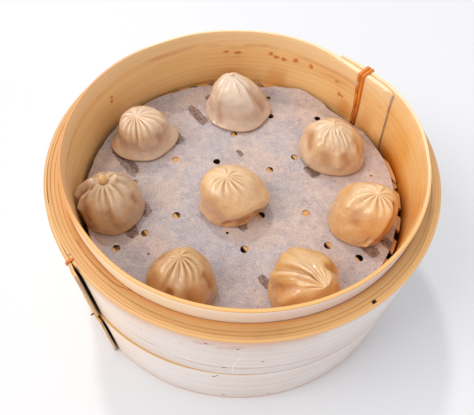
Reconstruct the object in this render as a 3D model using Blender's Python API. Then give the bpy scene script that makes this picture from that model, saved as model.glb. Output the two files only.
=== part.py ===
"""Steamed soup dumplings on a perforated paper liner, in their round bamboo steamer basket.

Metres, +Z up. The origin is the centre of the basket's foot, and the front faces -Y.
Plan angles are in degrees, counted from +X towards +Y.
"""
import math

import bmesh
import bpy
from mathutils import Vector

MM = 0.001
GAP = 0.3 * MM                       # clearance between neighbouring pieces

# Heights above the foot
STRIP_FOOT = 1.0 * MM                # the inner strips stop just above the table
HOOP_TOP = 51.0 * MM
MAT_TOP = 71.2 * MM
LEDGE_TOP = 101.2 * MM
RIM_TOP = 112.4 * MM

# Bamboo strips wound on edge: (plan angle, inner radius, outer radius) in millimetres.
# An angle past 360 is on the strip's second turn, outside its first.
INNER_WALL = [
    (24.5, 98.0, 100.1), (53.5, 97.6, 99.7), (92.0, 97.4, 99.6), (120.0, 98.4, 100.5),
    (142.0, 99.8, 101.9), (190.0, 99.4, 101.5), (222.0, 98.9, 101.1), (245.0, 99.9, 102.1),
    (360.0, 100.2, 102.4), (384.5, 100.6, 102.7), (400.0, 100.3, 102.2), (413.5, 100.1, 101.8),
]
LEDGE_INNER = [
    (-210.0, 104.8, 105.3), (-156.0, 104.0, 105.3), (-122.2, 104.3, 106.0), (-113.0, 103.1, 106.3),
    (0.0, 103.1, 106.3), (90.0, 103.0, 106.1), (150.0, 102.3, 104.3), (204.0, 102.0, 103.5),
    (237.8, 102.6, 103.9),
]
LEDGE_MIDDLE = [
    (0.0, 106.7, 108.2), (150.0, 106.3, 107.9), (204.0, 105.8, 107.6), (245.0, 106.7, 108.1),
    (360.0, 106.7, 108.2),
]
LEDGE_OUTER = [
    (307.6, 108.6, 110.0), (420.0, 108.6, 110.0), (510.0, 108.3, 109.5), (582.0, 108.0, 109.3),
    (610.0, 108.5, 109.8), (666.3, 108.5, 110.0),
]
UPPER_BAND = [
    (204.0, 109.7, 110.0), (216.0, 109.7, 110.6), (228.0, 109.8, 111.4), (245.0, 110.2, 111.6),
    (360.0, 110.4, 111.6), (540.0, 109.9, 111.4), (560.0, 109.9, 111.4), (576.0, 111.0, 112.7),
    (588.5, 112.0, 114.5),
]
LOWER_HOOP = [
    (206.0, 109.7, 110.0), (217.0, 109.7, 111.0), (230.0, 109.9, 112.6), (250.0, 110.3, 112.4),
    (270.0, 110.4, 112.0), (360.0, 110.4, 112.0), (540.0, 110.0, 112.0), (562.0, 110.1, 112.1),
    (577.0, 111.5, 113.3), (590.0, 113.1, 114.9),
]
FINE_STEP = 6.0                      # degrees along the strips that show all round
COARSE_STEP = 7.5                    # degrees along the strips that show as edges only
EDGE_ROUND = 0.6 * MM

# Slatted mat, the bars it lies on and the hoop that carries the bars
SLAT_DIRECTION = -50.0
SLAT_PITCH = 13.6 * MM
SLAT_WIDTH = 8.0 * MM
SLAT_THICKNESS = 2.0 * MM
SLAT_COUNT = 14
FIRST_SLAT_OFFSET = -90.8 * MM
BAR_OFFSETS = (-52.0 * MM, 0.0, 52.0 * MM)
BAR_WIDTH = 12.0 * MM
BAR_HEIGHT = 6.0 * MM
CARRIER_HEIGHT = 14.0 * MM
CARRIER_THICKNESS = 2.6 * MM
WALL_CLEARANCE = 0.6 * MM

# Paper liner: outline as (plan angle, radius in millimetres), holes as radius: plan angles
LINER_THICKNESS = 0.4 * MM
LINER_OUTLINE = [
    (0.0, 94.8), (45.0, 92.4), (90.0, 91.2), (126.0, 95.2), (180.0, 95.6), (225.0, 96.2),
    (270.0, 97.0), (335.0, 96.4), (360.0, 94.8),
]
LINER_SIDES = 48
HOLE_RADIUS = 2.3 * MM
ROUND_SIDES = 8                      # facets of a hole or a peg
HOLE_RINGS = {
    23.0: (36, 137, 218, 299),
    45.0: (37, 101, 160, 216, 275, 334),
    66.0: (75, 185, 217, 322),
    84.0: (51, 80, 218, 325),
}

# Cane ties
TIE_THICKNESS = 1.3 * MM
TIE_BEND = 0.2 * MM                  # how far below the top edge a tie starts to turn over
WALL_TIE_ANGLES = {"left": (40.6, 42.0), "right": (38.7, 40.1)}      # at the mat, at the rim
WALL_TIE_WIDTH = 2.9 * MM
WALL_TIE_DROP = 9.0 * MM             # how far the tie comes down outside the rim
SEAM_TIE_ANGLE = 224.0
SEAM_TIE_WIDTH = 3.2 * MM
SEAM_TIE_DROP = 3.0 * MM
PEG_RADIUS = 0.9 * MM
PEG_ANGLE = 227.4
PEG_LENGTH = 2.6 * MM
PEG_RISE = 2.0 * MM                  # height of its middle above the lower hoop

# Dumplings: centre x, centre y, radius x, radius y, height and lean x, lean y of the crown
# in millimetres; the crown's radius as a share of the skirt's, and its fullness; the number
# of pleats, their twist in degrees, and their depth and reach as shares of the radius.
DUMPLINGS = {
    "dumpling_1": (-66.0, 31.0, 20.5, 20.2, 25.5, -2.0, -4.6, 0.84, 2.6, 11, 65.0, 0.12, 0.90),
    "dumpling_2": (-6.7, 64.4, 22.8, 21.8, 27.8, -5.0, 3.0, 0.86, 1.55, 12, 12.0, 0.09, 0.90),
    "dumpling_3": (57.7, 30.8, 21.6, 20.9, 26.4, -3.9, -0.8, 0.87, 2.1, 13, 45.0, 0.10, 0.95),
    "dumpling_4": (-75.1, -26.9, 18.6, 18.5, 27.6, -2.6, 3.4, 0.97, 1.8, 11, 20.0, 0.12, 1.00),
    "dumpling_5": (-3.1, -16.0, 20.6, 18.4, 26.4, -5.4, -0.5, 0.97, 2.3, 12, 50.0, 0.08, 0.85),
    "dumpling_6": (69.9, -23.6, 18.4, 17.4, 27.2, 5.4, 1.7, 0.97, 2.2, 11, 50.0, 0.10, 0.95),
    "dumpling_7": (-28.9, -75.7, 19.3, 17.8, 27.0, 0.8, 6.0, 0.95, 2.1, 11, 35.0, 0.11, 1.00),
    "dumpling_8": (36.9, -70.4, 19.5, 19.0, 26.6, 7.0, -5.0, 0.93, 2.0, 10, 15.0, 0.12, 0.95),
}
COLUMNS_PER_PLEAT = 3
PLEAT_SHAPE = (0.55, 0.0, -0.65)     # crest, back and groove of one pleat
FOOT_SHARE = 0.9                     # radius of the foot, as a share of the skirt's
SKIRT_LEVEL = 0.07                   # height of the skirt's edge, as a share of the height
CROWN_LEVEL = 0.3                    # height where the crown rises out of the skirt
SKIRT_STEPS = (0.0, 0.45, 1.0)
CROWN_TURNS = (30.0, 50.0, 66.0, 78.0)
KNOT_RADIUS_SHARE = 0.13
KNOT_DIMPLE = 0.8                    # millimetres


def clear_scene():
    for old in list(bpy.data.objects):
        bpy.data.objects.remove(old, do_unlink=True)


def make_material(name, color, roughness):
    material = bpy.data.materials.new(name)
    material.use_nodes = True
    shader = material.node_tree.nodes["Principled BSDF"]
    shader.inputs["Base Color"].default_value = (*color, 1.0)
    shader.inputs["Roughness"].default_value = roughness
    shader.inputs["Metallic"].default_value = 0.0
    return material


def add_object(name, mesh_builder, material):
    """Make a named, smooth-shaded object from a finished bmesh and free the bmesh."""
    bmesh.ops.recalc_face_normals(mesh_builder, faces=mesh_builder.faces)
    mesh = bpy.data.meshes.new(name)
    mesh_builder.to_mesh(mesh)
    mesh_builder.free()
    mesh.materials.append(material)
    mesh.shade_smooth()
    mesh.set_sharp_from_angle(angle=math.radians(35.0))
    piece = bpy.data.objects.new(name, mesh)
    bpy.context.scene.collection.objects.link(piece)
    return piece


def polar(radius, degrees, height=0.0):
    turn = math.radians(degrees)
    return Vector((radius * math.cos(turn), radius * math.sin(turn), height))


def at_station(stations, degrees):
    """Values at a plan angle, eased from one station to the next."""
    for start, end in zip(stations, stations[1:]):
        if degrees <= end[0]:
            break
    share = min(max((degrees - start[0]) / (end[0] - start[0]), 0.0), 1.0)
    ease = share * share * (3.0 - 2.0 * share)
    return [(a + (b - a) * ease) * MM for a, b in zip(start[1:], end[1:])]


def loft(name, sections, material, closed=False):
    """Join equal rings of points into one closed solid."""
    builder = bmesh.new()
    rings = [[builder.verts.new(point) for point in section] for section in sections]
    pairs = list(zip(rings, rings[1:]))
    if closed:
        pairs.append((rings[-1], rings[0]))
    else:
        builder.faces.new(rings[0])
        builder.faces.new(rings[-1])
    for ring, following in pairs:
        for index in range(len(ring)):
            beside = (index + 1) % len(ring)
            builder.faces.new((ring[index], ring[beside], following[beside], following[index]))
    return add_object(name, builder, material)


def strip_section(degrees, inner, outer, bottom, top, inner_round, outer_round):
    """Cross-section of an upright strip, with its top edges taken off where asked."""
    outline = [(inner, bottom), (outer, bottom), (outer, top - outer_round)]
    if outer_round > 0.0:
        outline.append((outer - outer_round, top))
    outline.append((inner + inner_round, top))
    if inner_round > 0.0:
        outline.append((inner, top - inner_round))
    return [polar(radius, degrees, height) for radius, height in outline]


def wound_strip(name, stations, bottom, top, step, material, inner_round=0.0, outer_round=0.0,
                closed=False):
    first = stations[0][0]
    turn = stations[-1][0] - first
    steps = round(turn / step)
    angles = [first + turn * index / steps for index in range(steps if closed else steps + 1)]
    sections = []
    for degrees in angles:
        inner, outer = at_station(stations, degrees)
        sections.append(
            strip_section(degrees, inner, outer, bottom, top, inner_round, outer_round))
    return loft(name, sections, material, closed)


def wall_face(degrees):
    """Radius that stays clear of the inner wall's inner face near a plan angle."""
    first = INNER_WALL[0][0]
    nearby = [(degrees + side * COARSE_STEP - first) % 360.0 + first for side in (-1, 0, 1)]
    return min(at_station(INNER_WALL, turned)[0] for turned in nearby) - WALL_CLEARANCE


def build_walls(bamboo, pale_bamboo):
    wound_strip("inner_wall", INNER_WALL, STRIP_FOOT, RIM_TOP, FINE_STEP, bamboo,
                EDGE_ROUND, EDGE_ROUND)
    wound_strip("ledge_strip_inner", LEDGE_INNER, STRIP_FOOT, LEDGE_TOP, COARSE_STEP, bamboo)
    wound_strip("ledge_strip_middle", LEDGE_MIDDLE, STRIP_FOOT, LEDGE_TOP, COARSE_STEP, bamboo,
                closed=True)
    wound_strip("ledge_strip_outer", LEDGE_OUTER, STRIP_FOOT, LEDGE_TOP, COARSE_STEP, bamboo)
    wound_strip("upper_band", UPPER_BAND, HOOP_TOP + GAP, LEDGE_TOP, FINE_STEP, pale_bamboo)
    wound_strip("lower_hoop", LOWER_HOOP, 0.0, HOOP_TOP, FINE_STEP, pale_bamboo)


def reach_wall(along, across, offset, sign):
    """Where a line across the basket comes up to the wall."""
    reach = 90.0 * MM
    for _ in range(6):
        point = across * offset + along * (sign * reach)
        degrees = math.degrees(math.atan2(point.y, point.x))
        limit = wall_face(degrees)
        reach = math.sqrt(limit * limit - offset * offset)
    return across * offset + along * (sign * reach)


def slat(name, along, across, offset, width, bottom, top, material):
    """A flat bamboo slat across the basket whose ends follow the wall."""
    outline = []
    for side, sign in ((-0.5, -1), (-0.5, 1), (0.5, 1), (0.5, -1)):
        outline.append(reach_wall(along, across, offset + side * width, sign))
    sections = [[point + Vector((0.0, 0.0, level)) for point in outline]
                for level in (bottom, top)]
    return loft(name, sections, material)


def build_mat(bamboo):
    along = polar(1.0, SLAT_DIRECTION)
    across = polar(1.0, SLAT_DIRECTION + 90.0)
    slat_bottom = MAT_TOP - SLAT_THICKNESS
    for index in range(SLAT_COUNT):
        slat(f"mat_slat_{index + 1:02d}", along, across, FIRST_SLAT_OFFSET + index * SLAT_PITCH,
             SLAT_WIDTH, slat_bottom, MAT_TOP, bamboo)
    bar_top = slat_bottom - GAP
    bar_bottom = bar_top - BAR_HEIGHT
    for index, offset in enumerate(BAR_OFFSETS):
        slat(f"mat_bar_{index + 1}", -across, along, offset, BAR_WIDTH, bar_bottom, bar_top,
             bamboo)
    carrier_top = bar_bottom - GAP
    carrier = []
    for index in range(round(360.0 / COARSE_STEP)):
        degrees = index * COARSE_STEP
        outer = wall_face(degrees)
        carrier.append(strip_section(degrees, outer - CARRIER_THICKNESS, outer,
                                     carrier_top - CARRIER_HEIGHT, carrier_top, 0.0, 0.0))
    loft("mat_carrier", carrier, bamboo, closed=True)


def build_liner(paper):
    bottom = MAT_TOP + GAP
    top = bottom + LINER_THICKNESS
    outline = []
    for index in range(LINER_SIDES):
        degrees = 360.0 * index / LINER_SIDES
        outline.append(polar(at_station(LINER_OUTLINE, degrees)[0], degrees))
    sections = [[point + Vector((0.0, 0.0, level)) for point in outline]
                for level in (bottom, top)]
    liner = loft("paper_liner", sections, paper)

    punch = bmesh.new()
    for radius, angles in HOLE_RINGS.items():
        for degrees in angles:
            centre = polar(radius * MM, degrees)
            rings = []
            for level in (bottom - MM, top + MM):
                ring = []
                for side in range(ROUND_SIDES):
                    spoke = polar(HOLE_RADIUS, 360.0 * side / ROUND_SIDES, level)
                    ring.append(punch.verts.new(centre + spoke))
                rings.append(ring)
            punch.faces.new(list(reversed(rings[0])))
            punch.faces.new(rings[1])
            for side in range(ROUND_SIDES):
                beside = (side + 1) % ROUND_SIDES
                punch.faces.new((rings[0][side], rings[0][beside], rings[1][beside],
                                 rings[1][side]))
    cutter = add_object("liner_punch", punch, paper)
    cutter.hide_render = True
    cutter.display_type = "WIRE"
    cut = liner.modifiers.new("holes", "BOOLEAN")
    cut.operation = "DIFFERENCE"
    cut.object = cutter
    cut.solver = "EXACT"


def strap(name, path, half_width, thickness, material):
    """A flat tie along a path of (angle, radius, height, outward lean) stations.

    The lean is the direction of the tie's outer face: 180 faces the basket's middle,
    90 faces up and 0 faces out.
    """
    sections = []
    for degrees, radius, height, lean in path:
        tilt = math.radians(lean)
        outward = polar(math.cos(tilt), degrees) + Vector((0.0, 0.0, math.sin(tilt)))
        sideways = polar(1.0, degrees + 90.0)
        base = polar(radius, degrees, height)
        section = []
        for side, lift in ((-1.0, 0.0), (1.0, 0.0), (1.0, 1.0), (-1.0, 1.0)):
            section.append(base + sideways * (side * half_width) + outward * (lift * thickness))
        sections.append(section)
    return loft(name, sections, material)


def over_edge(degrees_low, degrees_top, inner, outer, low, top, drop):
    """Path of a tie that climbs an inner face, crosses the top and comes down outside."""
    inner_line = inner - GAP
    outer_line = outer + GAP
    lifted = top + GAP
    return [
        (degrees_low, inner_line, low, 180.0),
        (0.5 * (degrees_low + degrees_top), inner_line, 0.5 * (low + top), 180.0),
        (degrees_top, inner_line, lifted - TIE_BEND, 180.0),
        (degrees_top, inner_line, lifted, 135.0),
        (degrees_top, outer_line, lifted, 45.0),
        (degrees_top, outer_line, lifted - TIE_BEND, 0.0),
        (degrees_top, outer_line, top - drop, 0.0),
    ]


def build_wall_ties(cane):
    """Two strands side by side that tie the inner wall's lap, from the mat over the rim."""
    half_width = 0.5 * (WALL_TIE_WIDTH - GAP)
    for side, (low_angle, top_angle) in WALL_TIE_ANGLES.items():
        inner = at_station(INNER_WALL, top_angle)[0]
        outer = at_station(INNER_WALL, top_angle + 360.0)[1]
        path = over_edge(low_angle, top_angle, inner, outer, MAT_TOP + GAP, RIM_TOP,
                         WALL_TIE_DROP)
        strap(f"cane_tie_{side}", path, half_width, TIE_THICKNESS, cane)


def build_seam_tie(cane):
    """The short tie over the top edge of the outer band, beside its free end."""
    inner_line = at_station(UPPER_BAND, SEAM_TIE_ANGLE)[0]
    outer_line = at_station(UPPER_BAND, SEAM_TIE_ANGLE + 360.0)[1] + GAP
    lifted = LEDGE_TOP + GAP
    strap("seam_tie", [
        (SEAM_TIE_ANGLE, inner_line, lifted, 90.0),
        (SEAM_TIE_ANGLE, outer_line, lifted, 45.0),
        (SEAM_TIE_ANGLE, outer_line, lifted - TIE_BEND, 0.0),
        (SEAM_TIE_ANGLE, outer_line, LEDGE_TOP - SEAM_TIE_DROP, 0.0),
    ], 0.5 * SEAM_TIE_WIDTH, TIE_THICKNESS, cane)


def build_seam_peg(cane):
    """The end of the round peg that stands out of the band just above the hoop."""
    start = at_station(UPPER_BAND, PEG_ANGLE + 360.0)[1] + GAP
    axis = polar(1.0, PEG_ANGLE)
    sideways = polar(1.0, PEG_ANGLE + 90.0)
    base = axis * start + Vector((0.0, 0.0, HOOP_TOP + PEG_RISE))
    sections = []
    for depth in (0.0, PEG_LENGTH):
        ring = []
        for side in range(ROUND_SIDES):
            turn = 2.0 * math.pi * side / ROUND_SIDES
            spoke = sideways * math.cos(turn) + Vector((0.0, 0.0, math.sin(turn)))
            ring.append(base + axis * depth + spoke * PEG_RADIUS)
        sections.append(ring)
    loft("seam_peg", sections, cane)


def dumpling_levels(crown, fullness):
    """Radius and height shares, from the foot over the skirt and crown to the knot."""
    levels = [(FOOT_SHARE, 0.0)]
    for step in SKIRT_STEPS:
        ease = step * step * (3.0 - 2.0 * step)
        rise = SKIRT_LEVEL + (CROWN_LEVEL - SKIRT_LEVEL) * step
        levels.append((1.0 - (1.0 - crown) * ease, rise))
    for turn in CROWN_TURNS:
        out = crown * math.cos(math.radians(turn)) ** (2.0 / fullness)
        up = math.sin(math.radians(turn)) ** (2.0 / fullness)
        levels.append((out, CROWN_LEVEL + (1.0 - CROWN_LEVEL) * up))
    levels.append((KNOT_RADIUS_SHARE, 1.0))
    return levels


def build_dumpling(name, spec, dough):
    (centre_x, centre_y, radius_x, radius_y, height, lean_x, lean_y,
     crown, fullness, pleats, twist, depth, reach) = spec
    floor = MAT_TOP + GAP + LINER_THICKNESS + GAP
    columns = pleats * COLUMNS_PER_PLEAT
    builder = bmesh.new()
    rings = []
    for out, up in dumpling_levels(crown, fullness):
        relief = depth * math.sin(math.pi * min(out / reach, 1.0)) ** 0.8
        swirl = math.radians(twist) * (1.0 - out)
        middle = Vector((centre_x + lean_x * up ** 1.5, centre_y + lean_y * up ** 1.5, 0.0)) * MM
        ring = []
        for column in range(columns):
            turn = 2.0 * math.pi * column / columns + swirl
            pleat = relief * PLEAT_SHAPE[column % COLUMNS_PER_PLEAT] / max(out, 0.25)
            share = out * (1.0 + pleat)
            spoke = Vector((radius_x * math.cos(turn), radius_y * math.sin(turn), 0.0)) * MM
            point = middle + spoke * share
            point.z = floor + height * up * MM
            ring.append(builder.verts.new(point))
        rings.append(ring)
    builder.faces.new(rings[0])
    for ring, above in zip(rings, rings[1:]):
        for column in range(columns):
            beside = (column + 1) % columns
            builder.faces.new((ring[column], ring[beside], above[beside], above[column]))
    dimple = builder.verts.new(((centre_x + lean_x) * MM, (centre_y + lean_y) * MM,
                                floor + (height - KNOT_DIMPLE) * MM))
    for column in range(columns):
        beside = (column + 1) % columns
        builder.faces.new((rings[-1][column], rings[-1][beside], dimple))
    return add_object(name, builder, dough)


def main():
    clear_scene()
    bamboo = make_material("bamboo_strip", (0.74, 0.46, 0.20), 0.45)
    pale_bamboo = make_material("bamboo_skin", (0.80, 0.70, 0.60), 0.40)
    mat_bamboo = make_material("mat_bamboo", (0.42, 0.22, 0.08), 0.60)
    cane = make_material("cane", (0.62, 0.25, 0.05), 0.40)
    paper = make_material("liner_paper", (0.62, 0.55, 0.52), 0.75)
    dough = make_material("dough", (0.72, 0.50, 0.33), 0.35)
    build_walls(bamboo, pale_bamboo)
    build_mat(mat_bamboo)
    build_liner(paper)
    build_wall_ties(cane)
    build_seam_tie(cane)
    build_seam_peg(cane)
    for name, spec in DUMPLINGS.items():
        build_dumpling(name, spec, dough)


main()
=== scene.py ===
"""Looks of the steamed soup dumplings in their bamboo steamer basket.

Metres, +Z up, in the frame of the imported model. The front of the basket faces -Y, and
plan angles are in degrees, counted from +X towards +Y.
"""

import math
from types import SimpleNamespace

import bmesh
import bpy
import numpy as np
from mathutils import Matrix, Vector


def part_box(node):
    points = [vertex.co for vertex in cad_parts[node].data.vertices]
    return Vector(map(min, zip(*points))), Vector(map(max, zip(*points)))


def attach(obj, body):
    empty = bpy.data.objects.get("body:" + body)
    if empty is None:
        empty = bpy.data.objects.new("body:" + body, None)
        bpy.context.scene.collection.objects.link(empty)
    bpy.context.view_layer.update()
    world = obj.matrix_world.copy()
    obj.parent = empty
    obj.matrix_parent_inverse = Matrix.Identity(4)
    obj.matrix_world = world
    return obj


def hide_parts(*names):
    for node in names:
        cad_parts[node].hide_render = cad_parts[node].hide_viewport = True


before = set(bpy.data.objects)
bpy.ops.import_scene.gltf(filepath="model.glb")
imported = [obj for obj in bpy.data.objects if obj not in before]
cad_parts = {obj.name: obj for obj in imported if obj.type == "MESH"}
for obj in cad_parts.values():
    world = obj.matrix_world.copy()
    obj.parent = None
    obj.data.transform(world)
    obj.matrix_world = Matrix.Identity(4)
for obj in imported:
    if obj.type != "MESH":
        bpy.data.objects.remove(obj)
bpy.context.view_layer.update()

MM = 0.001

# Levels and sizes read from the frame
RIM_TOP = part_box("inner_wall")[1][2]
LEDGE_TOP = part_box("upper_band")[1][2]
HOOP_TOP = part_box("lower_hoop")[1][2]
STRIP_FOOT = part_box("inner_wall")[0][2]
MAT_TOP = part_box("mat_slat_01")[1][2]
SLAT_THICKNESS = MAT_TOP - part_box("mat_slat_01")[0][2]
LINER_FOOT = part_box("paper_liner")[0][2]
DUMPLING_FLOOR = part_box("dumpling_1")[0][2]
CARRIER_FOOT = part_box("mat_carrier")[0][2]
CARRIER_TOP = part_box("mat_carrier")[1][2]

# Bamboo strips wound on edge: (plan angle, inner radius, outer radius) in millimetres.
# An angle past 360 is on the strip's second turn, outside its first.
INNER_WALL = [
    (24.5, 99.1, 100.1), (28.0, 97.8, 100.1), (53.5, 97.0, 99.7), (75.0, 97.3, 99.6),
    (92.0, 97.4, 99.6), (120.0, 98.4, 100.5), (142.0, 99.8, 101.9), (190.0, 99.4, 101.5),
    (222.0, 98.9, 101.1), (245.0, 99.9, 102.1), (360.0, 100.2, 102.4), (384.5, 100.6, 102.7),
    (400.0, 100.3, 102.2), (413.5, 100.1, 101.8),
]
# How far the wall's top leans: (plan angle, its inner side outward, its outer side outward, its
# inner side down), in millimetres
RIM_LEAN = [
    (-180.0, 0.0, 0.0, 0.0), (-4.0, 0.0, 0.0, 0.0), (12.0, 0.0, 1.2, 0.0),
    (24.0, -0.6, 1.2, 0.2), (32.0, -1.4, 1.1, 0.7), (37.0, -2.2, 0.0, 1.0),
    (45.0, -2.8, -0.8, 1.5), (52.0, -2.2, -0.9, 1.2), (59.0, -1.2, -0.6, 0.4),
    (67.0, -0.2, 0.4, 0.0), (78.0, 0.5, 1.1, 0.0), (92.0, 0.5, 1.2, 0.0),
    (108.0, 0.4, 1.0, 0.0), (130.0, 0.0, 0.0, 0.0), (180.0, 0.0, 0.0, 0.0),
]
LEAN_FOOT = 76.0 * MM                # height from which the wall leans
LEAN_LEVELS = 10
WALL_INSIDE = 97.5 * MM              # radii between which the lean goes from inner to outer
WALL_DEPTH = 4.5 * MM
LAP_SLANT = 2.9                      # degrees by which the lap's end leans back at its top
LAP_REACH = (24.5, 34.5)             # plan angles between which the slant dies out
LEDGE_INNER = [
    (-210.0, 104.55, 105.5), (-156.0, 103.6, 105.6), (-122.2, 104.0, 106.3),
    (-118.0, 102.3, 106.45), (0.0, 102.6, 106.5), (90.0, 102.7, 106.3), (150.0, 102.0, 104.6),
    (204.0, 101.4, 103.65), (222.0, 101.2, 103.8), (237.8, 101.9, 103.9), (241.0, 102.1, 102.6),
]
LEDGE_MIDDLE = [
    (0.0, 106.45, 108.4), (90.0, 106.25, 108.4), (150.0, 105.45, 108.1), (204.0, 105.55, 107.8),
    (245.0, 106.45, 108.3), (360.0, 106.45, 108.4),
]
LEDGE_OUTER = [
    (307.6, 108.35, 110.2), (420.0, 108.35, 110.2), (510.0, 108.05, 109.75), (582.0, 107.75, 109.5),
    (610.0, 108.25, 110.0), (666.3, 108.35, 110.2),
]
UPPER_BAND = [
    (204.0, 109.45, 109.9), (216.0, 109.45, 110.5), (228.0, 109.5, 111.4), (245.0, 109.9, 111.6),
    (360.0, 110.15, 111.6), (540.0, 109.6, 111.4), (564.0, 109.85, 111.6), (576.0, 110.45, 112.3),
    (583.0, 111.15, 113.0), (588.5, 113.0, 114.8),
]
LOWER_HOOP = [
    (206.0, 109.7, 110.0), (217.0, 109.7, 111.0), (230.0, 109.9, 112.6), (250.0, 110.3, 112.4),
    (268.0, 110.4, 111.8), (360.0, 110.4, 111.8), (540.0, 110.0, 111.9), (562.0, 110.1, 112.1),
    (577.0, 111.2, 113.0), (582.0, 112.2, 113.8), (590.0, 113.9, 115.3),
]
CARRIER = [(0.0, 94.4, 96.8), (90.0, 94.0, 96.4), (200.0, 94.6, 97.2), (360.0, 94.4, 96.8)]
PATH_STEP = 1.5                      # degrees between the points of a strip's path
BAND_GAP = 0.3 * MM                  # between the upper band and the hoop under it
# Nicks in a strip's top: (plan angle, half width in degrees, depth in millimetres)
WALL_CUTS = [(24.5, 1.4, 1.2)]
LEDGE_CUTS = [(220.6, 1.6, 1.2)]

# Slatted mat
SLAT_DIRECTION = -50.0               # plan angle that the slats run along
SLAT_PITCH = 13.6 * MM
SLAT_WIDTH = 8.0 * MM
SLAT_COUNT = 14
FIRST_SLAT_OFFSET = -90.8 * MM
MAT_RADIUS = 96.8 * MM
SLAT_LONGER = 2.2 * MM               # how much further the slats reach on their right side

# Paper liner: outline as (plan angle, radius, lift of the edge), holes as (x, y, diameter), in mm
LINER_THICKNESS = 0.22 * MM
LINER_RINGS = 76
LINER_SPOKES = 288
LINER_CURL_START = 0.86              # share of the radius past which the edge curls up
LINER_OUTLINE = [
    (0.0, 95.2, 0.4), (8.0, 95.8, 0.3), (18.0, 96.0, 0.3), (32.0, 95.8, 0.2), (38.0, 93.2, 0.2),
    (50.0, 91.9, 0.3), (57.0, 94.6, 1.2), (66.0, 95.6, 2.8), (75.0, 93.4, 1.6), (84.0, 90.4, 0.6),
    (100.0, 91.4, 0.4), (119.0, 93.6, 0.8), (136.0, 96.4, 0.5), (150.0, 96.2, 0.4),
    (169.0, 95.8, 0.3), (200.0, 96.0, 0.3), (240.0, 96.4, 0.3), (300.0, 96.4, 0.4),
    (333.0, 96.6, 0.6), (345.0, 96.4, 0.8), (360.0, 95.2, 0.4),
]
LINER_HOLES = [
    (-7.7, 41.5, 4.6), (16.7, 61.1, 4.4), (14.5, 79.3, 3.6), (-43.9, 15.6, 4.6),
    (-17.3, 16.3, 4.6), (17.2, 12.5, 4.6), (33.1, 24.7, 4.4), (49.6, 61.8, 4.4),
    (-67.0, -5.5, 4.6), (-37.5, -27.5, 4.8), (-54.0, -41.4, 4.6), (-68.3, -52.6, 4.8),
    (12.8, -23.2, 4.8), (4.0, -47.3, 4.8), (39.7, -19.4, 4.8), (52.0, -40.8, 4.8),
    (69.4, -47.7, 4.8), (82.6, 13.1, 2.2), (-6.5, -37.2, 1.8), (-49.8, -54.8, 1.6),
]
# Where the paper is soaked through and clings to a slat: (x, y, length along the slat, width)
WET_PATCHES = [
    (-75.5, 11.5, 28.0, 8.0), (-45.6, 34.6, 12.0, 7.5), (-34.0, 57.0, 20.0, 7.0),
    (44.4, 13.4, 11.0, 7.0), (75.6, -41.0, 13.0, 7.5), (86.8, -37.1, 8.0, 6.0),
    (-58.6, -22.9, 15.0, 7.0), (-62.7, -39.6, 12.0, 7.5), (1.2, -30.8, 9.0, 5.5),
    (16.6, -67.2, 10.0, 5.0), (-2.7, 24.8, 6.0, 3.4), (-27.0, 75.0, 7.0, 6.0),
]
# Marks on the bamboo: (plan angle, radius, height, width, height of the mark), all lengths in mm
WALL_STAINS = [
    (81.9, 97.0, 97.0, 3.0, 2.6), (79.4, 97.0, 95.0, 4.0, 2.4), (76.1, 97.0, 94.6, 3.6, 2.6),
    (71.2, 96.9, 96.2, 3.4, 3.4), (64.3, 96.7, 96.0, 2.8, 3.2), (49.6, 96.4, 85.0, 1.8, 3.8),
    (48.6, 96.4, 84.8, 3.6, 1.6), (51.7, 96.2, 94.4, 3.0, 1.6), (95.6, 97.6, 95.6, 4.6, 2.2),
    (100.2, 97.8, 96.4, 3.6, 1.8), (152.2, 99.8, 93.0, 2.2, 2.2), (152.6, 99.8, 90.0, 1.8, 2.0),
    (30.8, 97.5, 98.4, 1.0, 0.9), (29.5, 97.5, 98.8, 0.9, 1.0),
]
# Soft darker golden patches on the wall
WALL_SOFT_PATCHES = [
    (34.0, 97.0, 79.0, 11.0, 19.0), (45.5, 96.5, 76.0, 9.0, 15.0), (77.5, 97.0, 78.0, 12.0, 15.0),
]
# Painted shade on the wall behind the break in the left strand
TIE_BREAK_SHADE = [(42.0, 95.6, 97.6, 2.4, 2.0)]
TIE_GREY_PATCH = [(42.1, 94.4, 103.8, 1.7, 3.4)]
END_CUT = [(26.9, 98.9, 109.0, 1.7, 6.0)]
BAND_MARKS = [
    (264.0, 111.6, 95.2, 9.0, 3.6), (268.7, 111.6, 93.0, 8.0, 3.4), (272.4, 111.6, 94.6, 7.0, 3.2),
    (254.0, 111.5, 66.5, 3.2, 1.0), (251.0, 111.5, 60.0, 2.4, 1.2), (247.0, 111.5, 84.0, 1.2, 2.4),
    (286.0, 111.5, 75.0, 2.0, 1.0), (300.0, 111.5, 62.0, 1.4, 1.0), (258.0, 111.5, 88.0, 2.6, 1.0),
]
BAND_NICKS = [
    (264.2, 111.8, 95.7, 1.4, 1.4), (271.8, 111.8, 92.4, 1.4, 1.4), (278.5, 111.8, 73.0, 1.5, 1.4),
    (268.7, 111.8, 62.4, 2.1, 1.8), (266.0, 111.8, 44.3, 2.4, 1.8), (266.9, 111.8, 46.6, 1.5, 1.5),
    (268.7, 111.8, 6.4, 2.4, 1.5), (283.0, 111.8, 4.9, 2.1, 1.5),
]
# Painted shadow in the gaps behind the free ends of the band and the hoop, and a nail's hole by the
# seam
SEAM_GAP_SHADOWS = [(227.1, 111.4, 76.0, 7.2, 52.0), (228.8, 112.6, 22.0, 7.2, 44.0)]
NAIL_HOLE = [(222.3, 110.0, 101.2, 0.7, 0.8)]

# Cane tie and peg
CANE_WIDTH = 2.45 * MM
CANE_THICKNESS = 1.2 * MM
TIE_ANGLE = 41.0
STRAND_ANGLES = ((39.2, 40.5), (40.5, 42.1))   # plan angles at the foot and at the rim
TIE_DROP = 9.0 * MM                  # how far the strands reach down the outside
BREAK_HALF = 0.4 * MM                # half of the gap across the left strand
BREAK_STEP = 16                      # point of the left strand's path where it is broken
PEG_SIDES = 20
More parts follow.
